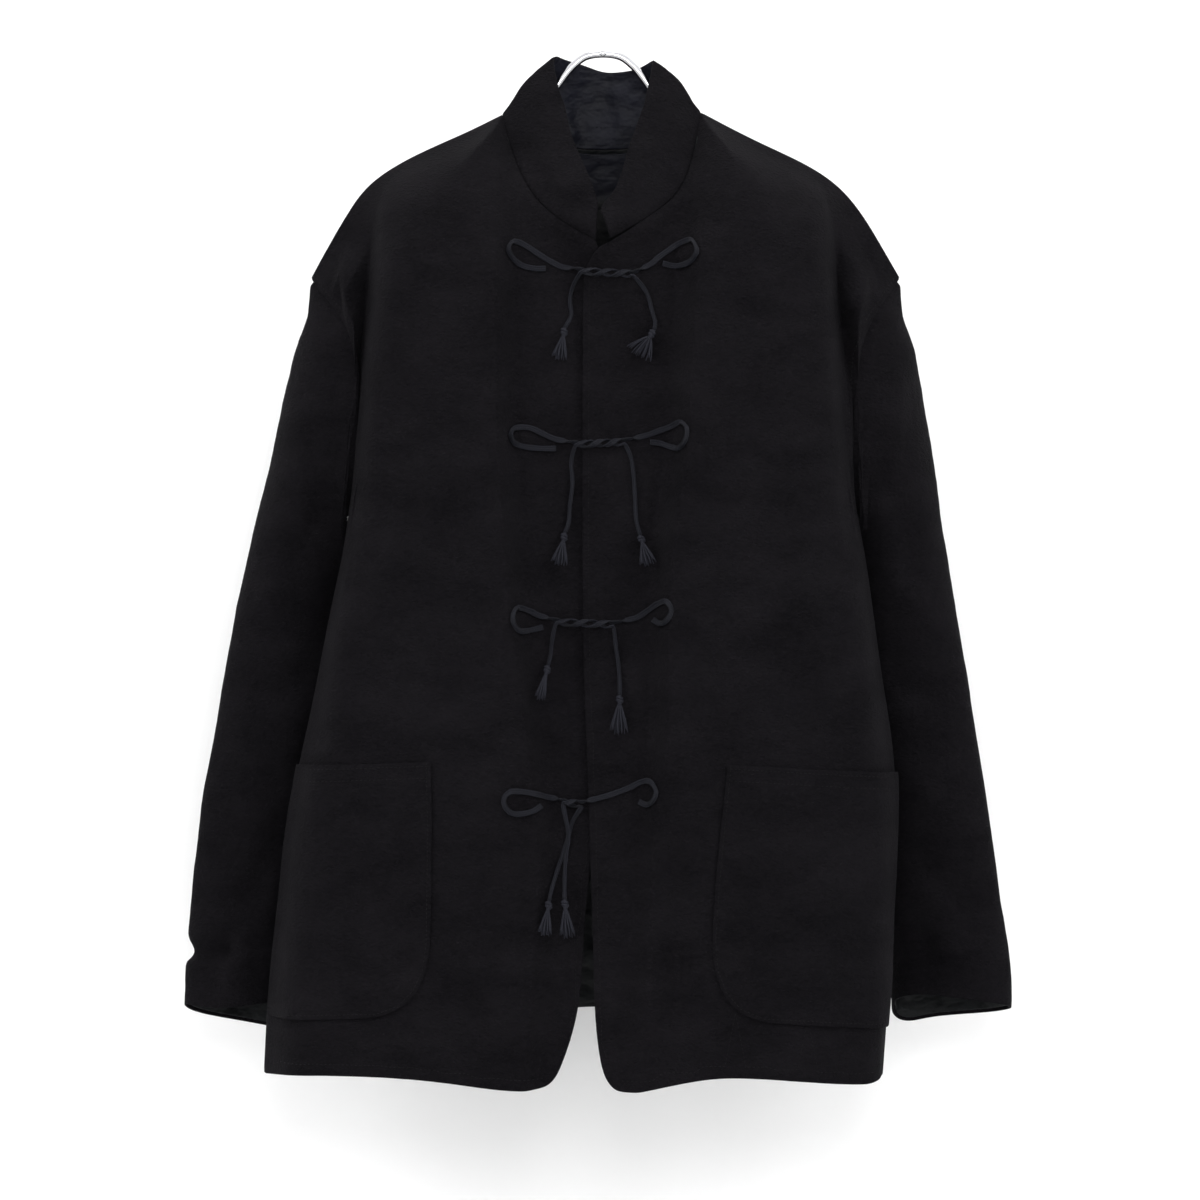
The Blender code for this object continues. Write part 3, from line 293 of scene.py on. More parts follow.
# Studio lights: place, what each one looks at, size and power.
WORLD_STRENGTH = 1.35
BODY_MIDDLE = (0, 0, -0.42)
CHEST = (0, 0, -0.3)
LIGHTS = {
    "key": ((1.8, -1.1, 0.8), BODY_MIDDLE, 0.8, 14),
    "fill": ((-1.8, -1.1, 0.8), BODY_MIDDLE, 0.8, 14),
    "top": ((0.0, 0.05, 1.8), CHEST, 0.8, 10),
    "front": ((0.1, -2.6, 0.3), CHEST, 0.8, 16),
    "back": ((0.8, 2.6, 1.0), BODY_MIDDLE, 1.8, 90),
}
WALL_TOP = 3.0
WALL_GLOW = 0.02

# Stitching: outlines of the pockets, and how far each row lies inside its edge.
POCKETS = {
    "right": dict(side=-1, drop=[560, 574, 612, 660, 700, 722, 740, 752, 759],
                  inner=[134, 134, 133, 133.5, 134, 137, 145, 157, 175], skew=4.0,
                  outer=[241, 245, 252, 257.5, 261.5, 264, 266, 267, 267.5]),
    "left": dict(side=1, drop=[562, 576, 612, 655, 700, 722, 741, 754, 762],
                 inner=[96, 95, 91, 87, 84, 86, 93, 104, 122], skew=8.0,
                 outer=[232, 232.5, 233, 231.5, 229.5, 228.5, 227.5, 227, 226]),
}
POCKET_INSET = 3.4
POCKET_ROWS = (3.2, 12.5)
EDGE_INSET = 5.0
HEM_RISE = 9.0
NECK_ROWS = (49.7, 64.0, 72.5)

# Flat cut of every piece of cloth: width, length and area in metres, measured on its solid.
FLATS = {
    "back": ((0.575, 0.770), 0.3605),
    "front_left": ((0.285, 0.785), 0.1991),
    "front_right": ((0.285, 0.780), 0.1941),
    "sleeve_left": ((0.260, 0.605), 0.1284),
    "sleeve_right": ((0.260, 0.610), 0.1303),
    "collar": ((0.360, 0.075), 0.0245),
    "neck_lining": ((0.148, 0.110), 0.0138),
    "cuff_lining_left": ((0.230, 0.075), 0.0147),
    "cuff_lining_right": ((0.230, 0.075), 0.0148),
    "pocket_left": ((0.181, 0.208), 0.0351),
    "pocket_right": ((0.157, 0.203), 0.0300),
}


def add_camera():
    data = bpy.data.cameras.new("camera")
    data.lens = CAMERA_LENS
    data.sensor_width = 36.0
    camera = bpy.data.objects.new("camera", data)
    camera.location = CAMERA_PLACE
    camera.rotation_euler = (math.pi / 2, 0, 0)
    bpy.context.scene.collection.objects.link(camera)
    bpy.context.scene.camera = camera


def ease(t):
    t = min(max(t, 0.0), 1.0)
    return t * t * (3 - 2 * t)


def ease_all(t):
    t = np.clip(t, 0.0, 1.0)
    return t * t * (3 - 2 * t)


# Materials

def new_material(name, colour, roughness, metallic=0.0):
    material = bpy.data.materials.new(name)
    material.use_nodes = True
    shader = material.node_tree.nodes["Principled BSDF"]
    shader.inputs["Base Color"].default_value = (*colour, 1.0)
    shader.inputs["Roughness"].default_value = roughness
    shader.inputs["Metallic"].default_value = metallic
    return material, material.node_tree, shader


def add_node(tree, kind, **settings):
    node = tree.nodes.new(kind)
    for key, value in settings.items():
        if key in node.inputs:
            node.inputs[key].default_value = value
        else:
            setattr(node, key, value)
    return node


def math_node(tree, operation, first, second):
    node = tree.nodes.new("ShaderNodeMath")
    node.operation = operation
    for socket, value in zip(node.inputs, (first, second)):
        if hasattr(value, "is_output"):
            tree.links.new(value, socket)
        else:
            socket.default_value = value
    return node.outputs[0]


def noise_node(tree, vector, scale, detail=3.0, roughness=0.55):
    node = add_node(tree, "ShaderNodeTexNoise", Scale=scale, Detail=detail, Roughness=roughness)
    tree.links.new(vector, node.inputs["Vector"])
    return node.outputs["Fac"]


def stretched(tree, vector, scale):
    node = tree.nodes.new("ShaderNodeMapping")
    node.inputs["Scale"].default_value = scale
    tree.links.new(vector, node.inputs["Vector"])
    return node.outputs["Vector"]


def group_tree(name, inputs, outputs):
    tree = bpy.data.node_groups.new(name, "ShaderNodeTree")
    for label, kind, value in inputs:
        socket = tree.interface.new_socket(label, in_out="INPUT", socket_type=kind)
        if value is not None:
            socket.default_value = value
    for label in outputs:
        tree.interface.new_socket(label, in_out="OUTPUT", socket_type="NodeSocketFloat")
    return tree, tree.nodes.new("NodeGroupInput"), tree.nodes.new("NodeGroupOutput")


def make_nap_group():
    """Brushed pile: small tufts lying crosswise, finer fibres and broad brushed patches."""
    tree, start, end = group_tree("brushed_nap", [("Vector", "NodeSocketVector", None),
                                                 ("Tuft Scale", "NodeSocketFloat", TUFT_SCALE)],
                                  ["Height", "Patches", "Tufts"])
    lying = stretched(tree, start.outputs["Vector"], TUFT_STRETCH)
    tuft = tree.nodes.new("ShaderNodeTexNoise")
    tuft.inputs["Detail"].default_value = 4.0
    tuft.inputs["Roughness"].default_value = 0.62
    tuft.inputs["Distortion"].default_value = 0.8
    tree.links.new(lying, tuft.inputs["Vector"])
    tree.links.new(start.outputs["Tuft Scale"], tuft.inputs["Scale"])
    pebble = tree.nodes.new("ShaderNodeTexVoronoi")
    tree.links.new(lying, pebble.inputs["Vector"])
    tree.links.new(math_node(tree, "MULTIPLY", start.outputs["Tuft Scale"], 1.1), pebble.inputs["Scale"])
    fibre = noise_node(tree, lying, FIBRE_SCALE, 2.0)
    height = math_node(tree, "ADD", math_node(tree, "MULTIPLY", tuft.outputs["Fac"], 1.0),
                       math_node(tree, "MULTIPLY", pebble.outputs["Distance"], 0.55))
    height = math_node(tree, "ADD", height, math_node(tree, "MULTIPLY", fibre, 0.22))
    tree.links.new(height, end.inputs["Height"])
    patch_way = stretched(tree, start.outputs["Vector"], PATCH_STRETCH)
    broad = noise_node(tree, patch_way, PATCH_SCALE, 4.0, 0.6)
    tree.links.new(broad, end.inputs["Patches"])
    tree.links.new(tuft.outputs["Fac"], end.inputs["Tufts"])
    return tree


def make_rib_group():
    """Fine lengthwise or crosswise ribs."""
    tree, start, end = group_tree("fine_ribs", [("Along", "NodeSocketFloat", 0.0),
                                               ("Across", "NodeSocketFloat", 0.0),
                                               ("Pitch", "NodeSocketFloat", 0.001),
                                               ("Slant", "NodeSocketFloat", 1.0)], ["Height"])
    lean = math_node(tree, "MULTIPLY", start.outputs["Across"], start.outputs["Slant"])
    turn = math_node(tree, "DIVIDE", math_node(tree, "ADD", start.outputs["Along"], lean),
                     start.outputs["Pitch"])
    wave = math_node(tree, "SINE", math_node(tree, "MULTIPLY", turn, 2 * math.pi), 0.0)
    tree.links.new(math_node(tree, "ADD", math_node(tree, "MULTIPLY", wave, 0.5), 0.5),
                   end.inputs["Height"])
    return tree


def place_group(tree, group):
    node = tree.nodes.new("ShaderNodeGroup")
    node.node_tree = group
    return node


def object_place(tree):
    return tree.nodes.new("ShaderNodeTexCoord").outputs["Object"]


def colour_mix(tree, factor, first, second):
    node = tree.nodes.new("ShaderNodeMix")
    node.data_type = "RGBA"
    node.inputs[6].default_value = (*first, 1.0)
    node.inputs[7].default_value = (*second, 1.0)
    tree.links.new(factor, node.inputs[0])
    return node.outputs[2]


def colour_range(tree, value, low, high):
    node = add_node(tree, "ShaderNodeMapRange", clamp=True)
    node.inputs["From Min"].default_value = low
    node.inputs["From Max"].default_value = high
    tree.links.new(value, node.inputs["Value"])
    return node.outputs["Result"]


def add_bump(tree, shader, height, distance, strength=1.0):
    bump = add_node(tree, "ShaderNodeBump", Distance=distance, Strength=strength)
    tree.links.new(height, bump.inputs["Height"])
    tree.links.new(bump.outputs["Normal"], shader.inputs["Normal"])


def make_cloth(name, nap):
    """Napped cloth: brushed patches and tufts, with next to no gloss."""
    material, tree, shader = new_material(name, CLOTH_COLOUR, 0.93)
    group = place_group(tree, nap)
    tree.links.new(object_place(tree), group.inputs["Vector"])
    tone = math_node(tree, "ADD", math_node(tree, "MULTIPLY", group.outputs["Patches"], 0.6),
                     math_node(tree, "MULTIPLY", group.outputs["Tufts"], 0.7))
    tone = colour_range(tree, tone, 0.42, 0.88)
    tree.links.new(colour_mix(tree, tone, *CLOTH_TONES), shader.inputs["Base Color"])
    shader.inputs["Specular IOR Level"].default_value = 0.05
    shader.inputs["Sheen Weight"].default_value = 0.006
    shader.inputs["Sheen Roughness"].default_value = 0.5
    shader.inputs["Sheen Tint"].default_value = (0.92, 0.9, 1.0, 1.0)
    add_bump(tree, shader, group.outputs["Height"], NAP_DEPTH)
    return material


def make_satin(name, ribs, dark, light, shade_z=None):
    """Crumpled satin with fine ribs; below a given level its colour is darkened as painted shade."""
    material, tree, shader = new_material(name, light, 0.4)
    place = object_place(tree)
    parts = tree.nodes.new("ShaderNodeSeparateXYZ")
    tree.links.new(place, parts.inputs[0])
    group = place_group(tree, ribs)
    tree.links.new(parts.outputs["Z"], group.inputs["Along"])
    tree.links.new(parts.outputs["X"], group.inputs["Across"])
    group.inputs["Pitch"].default_value = SATIN_PITCH
    group.inputs["Slant"].default_value = 0.6
    crumple = noise_node(tree, stretched(tree, place, CRUMPLE_STRETCH), CRUMPLE_SCALE, 3.0, 0.5)
    tone = colour_range(tree, crumple, 0.3, 0.7)
    colour = colour_mix(tree, tone, dark, light)
    # Painted shade: below the level the colour falls to a quarter of the dark tone, standing in for
    # shadow inside the neck opening.
    if shade_z is not None:
        above = colour_range(tree, parts.outputs["Z"], shade_z - 0.002, shade_z + 0.002)
        painted_shade = tree.nodes.new("ShaderNodeMix")
        painted_shade.data_type = "RGBA"
        painted_shade.inputs[6].default_value = (*[c * 0.25 for c in dark], 1.0)
        tree.links.new(colour, painted_shade.inputs[7])
        tree.links.new(above, painted_shade.inputs[0])
        colour = painted_shade.outputs[2]
    tree.links.new(colour, shader.inputs["Base Color"])
    tree.links.new(math_node(tree, "ADD", math_node(tree, "MULTIPLY", crumple, 0.25), 0.42),
                   shader.inputs["Roughness"])
    shader.inputs["Specular IOR Level"].default_value = 0.18
    height = math_node(tree, "ADD", math_node(tree, "MULTIPLY", group.outputs["Height"], 0.01),
                       math_node(tree, "MULTIPLY", crumple, 1.0))
    add_bump(tree, shader, height, CRUMPLE_DEPTH)
    return material


def make_braid(name, ribs, nap):
    """Flat braid: slanted ribs that meet in chevrons down the middle, with grooves along it; its colour
    is painted darker in the grooves as shade and lighter between them as highlight.
    """
    material, tree, shader = new_material(name, BRAID_COLOUR, 0.66)
    lay = add_node(tree, "ShaderNodeAttribute", attribute_name="lay")
    parts = tree.nodes.new("ShaderNodeSeparateXYZ")
    tree.links.new(lay.outputs["Vector"], parts.inputs[0])
    group = place_group(tree, ribs)
    tree.links.new(parts.outputs["X"], group.inputs["Along"])
    tree.links.new(math_node(tree, "ABSOLUTE", parts.outputs["Y"], 0.0), group.inputs["Across"])
    group.inputs["Pitch"].default_value = BRAID_PITCH
    group.inputs["Slant"].default_value = 1.1
    fuzz = place_group(tree, nap)
    tree.links.new(object_place(tree), fuzz.inputs["Vector"])
    fuzz.inputs["Tuft Scale"].default_value = BRAID_FUZZ_SCALE
    # Painted shade and highlight: a cosine across the braid darkens its colour in the lengthwise grooves
    # and lightens it on the ridges.
    groove_turn = math_node(tree, "MULTIPLY", parts.outputs["Y"], 2 * math.pi / BRAID_PITCH)
    groove_shade = math_node(tree, "COSINE", groove_turn, 0.0)
    tone = math_node(tree, "ADD", math_node(tree, "MULTIPLY", group.outputs["Height"], 0.3),
                     math_node(tree, "MULTIPLY", fuzz.outputs["Tufts"], 0.3))
    tone = math_node(tree, "ADD", tone, math_node(tree, "MULTIPLY", groove_shade, 0.32))
    tree.links.new(colour_mix(tree, tone, *BRAID_TONES), shader.inputs["Base Color"])
    shader.inputs["Specular IOR Level"].default_value = 0.16
    shader.inputs["Sheen Weight"].default_value = 0.012
    shader.inputs["Sheen Roughness"].default_value = 0.45
    height = math_node(tree, "ADD", group.outputs["Height"],
                       math_node(tree, "MULTIPLY", fuzz.outputs["Height"], 0.25))
    add_bump(tree, shader, height, 0.0004)
    return material


def make_yarn(name, ribs, dark, light):
    """Plied yarn or thread, with the turns of its twist."""
    material, tree, shader = new_material(name, light, 0.72)
    lay = add_node(tree, "ShaderNodeAttribute", attribute_name="lay")
    parts = tree.nodes.new("ShaderNodeSeparateXYZ")
    tree.links.new(lay.outputs["Vector"], parts.inputs[0])
    group = place_group(tree, ribs)
    tree.links.new(parts.outputs["X"], group.inputs["Along"])
    tree.links.new(parts.outputs["Y"], group.inputs["Across"])
    group.inputs["Pitch"].default_value = YARN_PITCH
    group.inputs["Slant"].default_value = 1.6
    tree.links.new(colour_mix(tree, group.outputs["Height"], dark, light), shader.inputs["Base Color"])
    shader.inputs["Specular IOR Level"].default_value = 0.16
    add_bump(tree, shader, group.outputs["Height"], 0.0002)
    return material


def make_chrome(name):
    """Polished rod with a faint haze."""
    material, tree, shader = new_material(name, CHROME_COLOUR, 0.1, 1.0)
    place = object_place(tree)
    haze = noise_node(tree, place, HAZE_SCALE, 3.0)
    tree.links.new(math_node(tree, "ADD", math_node(tree, "MULTIPLY", haze, 0.12), 0.05),
                   shader.inputs["Roughness"])
    tone = colour_range(tree, noise_node(tree, place, CHROME_PATCH_SCALE, 2.0), 0.3, 0.7)
    tree.links.new(colour_mix(tree, tone, *CHROME_TONES), shader.inputs["Base Color"])
    add_bump(tree, shader, haze, 0.00002)
    return material


# Cloth

def link(obj):
    bpy.context.scene.collection.objects.link(obj)
    return obj


def point_tree(places):
    """A search tree over a list of places."""
    tree = KDTree(len(places))
    for index, place in enumerate(places):
        tree.insert(place, index)
    tree.balance()
    return tree


def node_places(*names):
    """Places of all the points of some nodes."""
    return [v.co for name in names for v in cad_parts[name].data.vertices]


def seam_tree(name, cloth_nodes):
    """Places along a node's edges where another piece of cloth is sewn to it."""
    reach = point_tree(node_places(*[other for other in cloth_nodes if other != name]))
    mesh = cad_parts[name].data
    sewn = [reach.find(v.co)[2] < SEAM_REACH * MM for v in mesh.vertices]
    near = []
    for edge in mesh.edges:
        if all(sewn[index] for index in edge.vertices):
            start, end = [mesh.vertices[index].co for index in edge.vertices]
            count = max(int((end - start).length / (SEAM_STEP * MM)), 1)
            near.extend(start.lerp(end, k / count) for k in range(count + 1))
    return point_tree(near) if near else None


def label_sides(work, outward):
    """Marks faces 0 on the outside and rim and 1 on the inside, region by region between sharp edges."""
    work.faces.ensure_lookup_table()
    work.normal_update()
    seen = set()
    for first in work.faces:
        if first.index in seen:
            continue
        region = [first]
        seen.add(first.index)
        turn = 0
        while turn < len(region):
            face = region[turn]
            turn += 1
            for edge in face.edges:
                if len(edge.link_faces) != 2 or edge.calc_face_angle() > SHARP_ANGLE:
                    continue
                for other in edge.link_faces:
                    if other.index not in seen:
                        seen.add(other.index)
                        region.append(other)
        area = sum(f.calc_area() for f in region)
        lean = sum(f.calc_area() * f.normal.dot(outward(f.calc_center_median()).normalized())
                   for f in region)
        inside = lean < REGION_LEAN * area and len(region) > REGION_FACES
        for face in region:
            on_rim = min(edge.calc_length() for edge in face.edges) < RIM_EDGE * MM
            facing = face.normal.dot(outward(face.calc_center_median()).normalized())
            face.material_index = 1 if inside and not on_rim and facing < INSIDE_LEAN else 0
            face.smooth = True


def cloth_shell(node, name, outward, levels):
    """A finer copy of a cloth node: its triangles paired, its rim kept crisp, then subdivided."""
    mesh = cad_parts[node].data.copy()
    work = bmesh.new()
    work.from_mesh(mesh)
    bmesh.ops.remove_doubles(work, verts=work.verts[:], dist=0.00002)
    bmesh.ops.join_triangles(work, faces=work.faces[:], angle_face_threshold=math.radians(35),
                             angle_shape_threshold=math.radians(70), cmp_seam=False, cmp_sharp=False,
                             cmp_uvs=False, cmp_vcols=False, cmp_materials=False)
    work.faces.index_update()
    label_sides(work, outward)
    crease = work.edges.layers.float.new("crease_edge")
    for edge in work.edges:
        if len(edge.link_faces) == 2 and edge.calc_face_angle() > SHARP_ANGLE:
            edge[crease] = RIM_CREASE
    work.to_mesh(mesh)
    work.free()
    mesh.name = name
    shell = link(bpy.data.objects.new(name, mesh))
    round_up = shell.modifiers.new("round", "SUBSURF")
    round_up.levels = levels
    round_up.render_levels = levels
    fine = bpy.data.meshes.new_from_object(shell.evaluated_get(bpy.context.evaluated_depsgraph_get()))
    shell.modifiers.clear()
    shell.data = fine
    sides = np.empty(len(fine.polygons), dtype=np.int32)
    fine.polygons.foreach_get("material_index", sides)
    fine.materials.clear()
    for slot in (None, None):
        fine.materials.append(slot)
    fine.polygons.foreach_set("material_index", sides)
    return shell


def read_points(shell):
    points = np.empty(len(shell.data.vertices) * 3)
    shell.data.vertices.foreach_get("co", points)
    return points.reshape(-1, 3)


def write_points(shell, points):
    shell.data.vertices.foreach_set("co", points.ravel())
    shell.data.update()


def fold_height(points, folds):
    """Height of the listed folds at each point, each one fading at its ends."""
    x = points[:, 0] / MM
    drop = -points[:, 2] / MM
    height = np.zeros(len(points))
    for (x0, d0), (x1, d1), width, rise in folds:
        length = math.hypot(x1 - x0, d1 - d0)
        ux, ud = (x1 - x0) / length, (d1 - d0) / length
        along = ((x - x0) * ux + (drop - d0) * ud) / length
        bow = 0.08 * length * np.sin(math.pi * np.clip(along, 0, 1)) * (1 if rise > 0 else -1)
        away = (x - x0) * ud - (drop - d0) * ux + bow
        fade = ease_all(along / 0.3 + 0.25) * ease_all((1 - along) / 0.3 + 0.25)
        side = np.where(away > 0, width * 1.25, width * 0.8)
        height += FOLD_DEPTH * rise * np.exp(-(away / side) ** 2) * fade
    return height * MM


def long_fold(points, name):
    """The crisp ridge of a front's long fold and the hollow on its inner side."""
    rows = LONG_FOLDS[name]
    x = points[:, 0] / MM
    drop = -points[:, 2] / MM
    sign = 1 if rows["x"][0] > 0 else -1
    out = sign * (x - np.interp(drop, rows["drop"], rows["x"]))
    rise, width = LONG_FOLD_RISE
    sink, hollow, shift = LONG_FOLD_SINK
    fade = ease_all((drop - 110) / 60) * (1 - 0.55 * ease_all((drop - 560) / 160))
    height = rise * np.exp(-(out / width) ** 2) - sink * np.exp(-((out + shift) / hollow) ** 2)
    return height * fade * MM


def unevenness(points, scale, depth, offset):
    """Smooth unevenness of hanging cloth, the same for every piece that it crosses."""
    values = [noise.noise(Vector((x * scale + offset, y * scale, z * scale * 0.6)))
              for x, y, z in points]
    return np.array(values) * depth * MM


def seam_distance(points, tree):
    if tree is None:
        return np.full(len(points), 1.0)
    return np.array([tree.find(Vector(place))[2] for place in points])


def dress(shell, way, height, tree, room=16.0, tuck=None, soft=1.0):
    """Moves a shell by a height along a way, fading to nothing at its seams, which are pressed in."""
    points = read_points(shell)
    away = seam_distance(points, tree) / MM
    fade = ease_all(away / room)[:, None]
    press = -SEAM_PRESS * soft * MM * np.exp(-(away / PRESS_WIDTH) ** 2)[:, None]
    swell = SEAM_SWELL * soft * MM * np.exp(-((away - SWELL_PLACE) / SWELL_WIDTH) ** 2)[:, None]
    moved = points + way * (height[:, None] * fade + press + swell)
    if tuck is not None:
        moved += np.array(tuck) * MM * np.exp(-(away / TUCK_WIDTH) ** 2)[:, None]
    write_points(shell, moved)


def body_way(points):
    """Outward direction of the flattened body at each point."""
    way = np.stack([points[:, 0] / BODY_WIDTH ** 2, points[:, 1] / BODY_DEPTH ** 2,
                    np.zeros(len(points))], axis=1)
    return way / np.linalg.norm(way, axis=1, keepdims=True)


def body_outward(place):
    return Vector((place.x / BODY_WIDTH ** 2, place.y / BODY_DEPTH ** 2, 0.0))


def fill_neck(shell):
    """Brings the cloth beside the front of the neck seam forward, in line with the collar."""
    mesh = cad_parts["collar"].data
    reach = point_tree(node_places("front_left", "front_right"))
    seam = []
    for edge in mesh.edges:
        start, end = [mesh.vertices[index].co for index in edge.vertices]
        if max(reach.find(start)[2], reach.find(end)[2]) < SEAM_REACH * MM:
            seam.extend(start.lerp(end, k / 6) for k in range(7))
    points = read_points(shell)
    away = seam_distance(points, point_tree(seam)) / MM
    front = ease_all((-points[:, 1] / MM - 2) / 24)
    points[:, 1] -= NECK_FILL * MM * np.exp(-(away / NECK_FILL_REACH) ** 2) * front
    write_points(shell, points)


def clear_of_neck(points, height):
    """Keeps the back's folds from sinking into the neck lining that lies behind them."""
    near = ease_all((NECK_CLEAR_HALF - np.abs(points[:, 0]) / MM) / NECK_CLEAR_FADE)
    near *= ease_all((NECK_CLEAR_DROP + points[:, 2] / MM) / NECK_CLEAR_FADE)
    return np.where(height < 0, height * (1 - near), height)


def sleeve_axis(name):
    """Middle of a sleeve at each level, from its node."""
    points = np.array([v.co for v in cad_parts[name].data.vertices])
    levels = np.linspace(points[:, 2].min() + 0.03, points[:, 2].max() - 0.03, 24)
    middles = []
    for level in levels:
        near = points[np.abs(points[:, 2] - level) < 0.025]
        middles.append([(near[:, k].min() + near[:, k].max()) / 2 for k in (0, 1)])
    return levels, np.array(middles)


def sleeve_way(points, axis):
    levels, middles = axis
    middle = np.stack([np.interp(points[:, 2], levels, middles[:, k]) for k in (0, 1)], axis=1)
    way = np.zeros_like(points)
    way[:, :2] = points[:, :2] - middle
    return way / np.maximum(np.linalg.norm(way, axis=1, keepdims=True), 1e-6), middle


def finish_cloth(shell, node, outside, inside, flat, area, slot):
    shell.data.materials[0] = outside
    shell.data.materials[1] = inside
    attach(shell, "root")
    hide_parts(node)


def make_body(cloth, satin, cloth_nodes, flats):
    shells = {}
    for node, folds in (("front_right", FRONT_FOLDS), ("front_left", FRONT_FOLDS), ("back", BACK_FOLDS)):
        shell = cloth_shell(node, node + "_cloth", body_outward, 3)
        points = read_points(shell)
        height = fold_height(points, folds) + unevenness(points, *BROAD_WAVES)
        height += unevenness(points, *BODY_WRINKLES)
        if node in LONG_FOLDS:
            height += long_fold(points, node)
        else:
            height = clear_of_neck(points, height)
        dress(shell, body_way(points), height, seam_tree(node, cloth_nodes))
        if node in LONG_FOLDS:
            fill_neck(shell)
        finish_cloth(shell, node, cloth, satin, *flats[node], "outer_cloth")
        shells[node] = shell
    return shells


def make_sleeves(cloth, satin, cloth_nodes, flats):
    for side in ("left", "right"):
        node = "sleeve_" + side
        axis = sleeve_axis(node)

        def outward(place, axis=axis):
            way, _ = sleeve_way(np.array([place]), axis)
            return Vector(way[0])

        shell = cloth_shell(node, node + "_cloth", outward, 3)
        lining = cloth_shell("cuff_lining_" + side, "cuff_lining_" + side + "_satin", outward, 2)
        for piece in (shell, lining):
            points = read_points(piece)
            way, middle = sleeve_way(points, axis)
            facing = ease_all(0.5 + (middle[:, 1] - points[:, 1]) / 0.03)
            height = fold_height(points, SLEEVE_FOLDS[(side, "front")]) * facing
            height += fold_height(points, SLEEVE_FOLDS[(side, "back")]) * (1 - facing)
            height += unevenness(points, *BROAD_WAVES) + unevenness(points, *WRINKLES)
            if piece is lining:
                height -= LINING_CLEAR * MM * ease_all((LINING_DROP + points[:, 2] / MM) / 20)
            tuck = (-SLEEVE_TUCK if side == "left" else SLEEVE_TUCK, 0, 0)
            seams = seam_tree(node, cloth_nodes) if piece is shell else None
            dress(piece, way, height, seams, tuck=tuck)
        finish_cloth(shell, node, cloth, satin, *flats[node], "outer_cloth")
        finish_cloth(lining, "cuff_lining_" + side, satin, satin, *flats["cuff_lining_" + side],
                     "satin_lining")


def neck_outward(place):
    return Vector((place.x, place.y + 0.005, 0.0))


def close_leaf(shell):
    """Draws the foot of the collar's left leaf towards the right one, below the neck opening."""
    points = read_points(shell)
    closing = ease_all((-points[:, 2] / MM - 108) / 20) * ease_all((34 - points[:, 0] / MM) / 30)
    closing *= ease_all((points[:, 0] / MM + 1) / 3) * (points[:, 1] < -20 * MM)
    points[:, 0] -= LEAF_CLOSE * MM * closing
    write_points(shell, points)


def make_collar(cloth, painted_neck_satin, cloth_nodes, flats):
    shells = []
    for node, name, outside, slot in (("collar", "collar_cloth", cloth, "outer_cloth"),
                                      ("neck_lining", "neck_lining_satin", painted_neck_satin, "satin_lining")):
        shell = cloth_shell(node, name, neck_outward, 3)
        points = read_points(shell)
        way = np.array([neck_outward(Vector(p)).normalized() for p in points])
        height = fold_height(points, COLLAR_FOLDS) + unevenness(points, *COLLAR_WAVES)
        height += unevenness(points, *WRINKLES)
        if node == "neck_lining":
            height = height * 0.3
        else:
            middle = (points[:, 2].min() + points[:, 2].max()) / 2
            height -= COLLAR_FLATTEN * MM * np.exp(-((points[:, 2] - middle) / (COLLAR_HALF * MM)) ** 2)
        dress(shell, way, height, seam_tree(node, cloth_nodes), 9.0, soft=0.45)
        if node == "collar":
            fill_neck(shell)
            close_leaf(shell)
        finish_cloth(shell, node, outside, painted_neck_satin, *flats[node], slot)
        shells.append(shell)
    return shells


def make_pockets(cloth, satin, flats):
    shells = []
    for side in ("left", "right"):
        node = "pocket_" + side
        shell = cloth_shell(node, node + "_cloth", body_outward, 3)
        points = read_points(shell)
        height = fold_height(points, FRONT_FOLDS) + unevenness(points, *BROAD_WAVES)
        height += unevenness(points, *WRINKLES)
        dress(shell, body_way(points), height, None)
        finish_cloth(shell, node, cloth, satin, *flats[node], "outer_cloth")
        shells.append(shell)
    return shells


# Cords, tassels and sewing

def smooth_route(points, spacing):
    """Evenly spaced points on a smooth curve through a route's own points."""
    points = np.array(points, dtype=float)
    dense = []
    for k in range(len(points) - 1):
        a = points[max(k - 1, 0)]
        b = points[k]
        c = points[k + 1]
        d = points[min(k + 2, len(points) - 1)]
        for t in np.linspace(0, 1, 12, endpoint=False):
            dense.append(0.5 * (2 * b + (c - a) * t + (2 * a - 5 * b + 4 * c - d) * t * t
                                + (3 * b - a - 3 * c + d) * t ** 3))
    dense.append(points[-1])
    dense = np.array(dense)
    reach = np.concatenate([[0], np.cumsum(np.linalg.norm(np.diff(dense[:, :3], axis=0), axis=1))])
    count = max(int(round(reach[-1] / spacing)), 2)
    where = np.linspace(0, reach[-1], count + 1)
    return np.stack([np.interp(where, reach, dense[:, axis]) for axis in range(dense.shape[1])], axis=1)


def to_world(points):
    world = np.array(points, dtype=float) * MM
    world[..., 2] *= -1
    return world


def surface_tree(shells):
    """A search tree over several dressed shells."""
    verts = []
    faces = []
    for shell in shells:
        start = len(verts)
        verts.extend(Vector(p) for p in read_points(shell))
        faces.extend([start + i for i in polygon.vertices] for polygon in shell.data.polygons)
    return BVHTree.FromPolygons(verts, faces)


def cloth_y(tree, x, drop, reach):
    """The most forward cloth, in millimetres, within reach of a place."""
    best = 1e9
    for dx in (-reach, 0, reach):
        for dz in (-reach, 0, reach):
            hit = tree.ray_cast(Vector(((x + dx) * MM, -0.4, -(drop + dz) * MM)), Vector((0, 1, 0)))
            if hit[0] is not None:
                best = min(best, hit[0].y / MM)
    return best


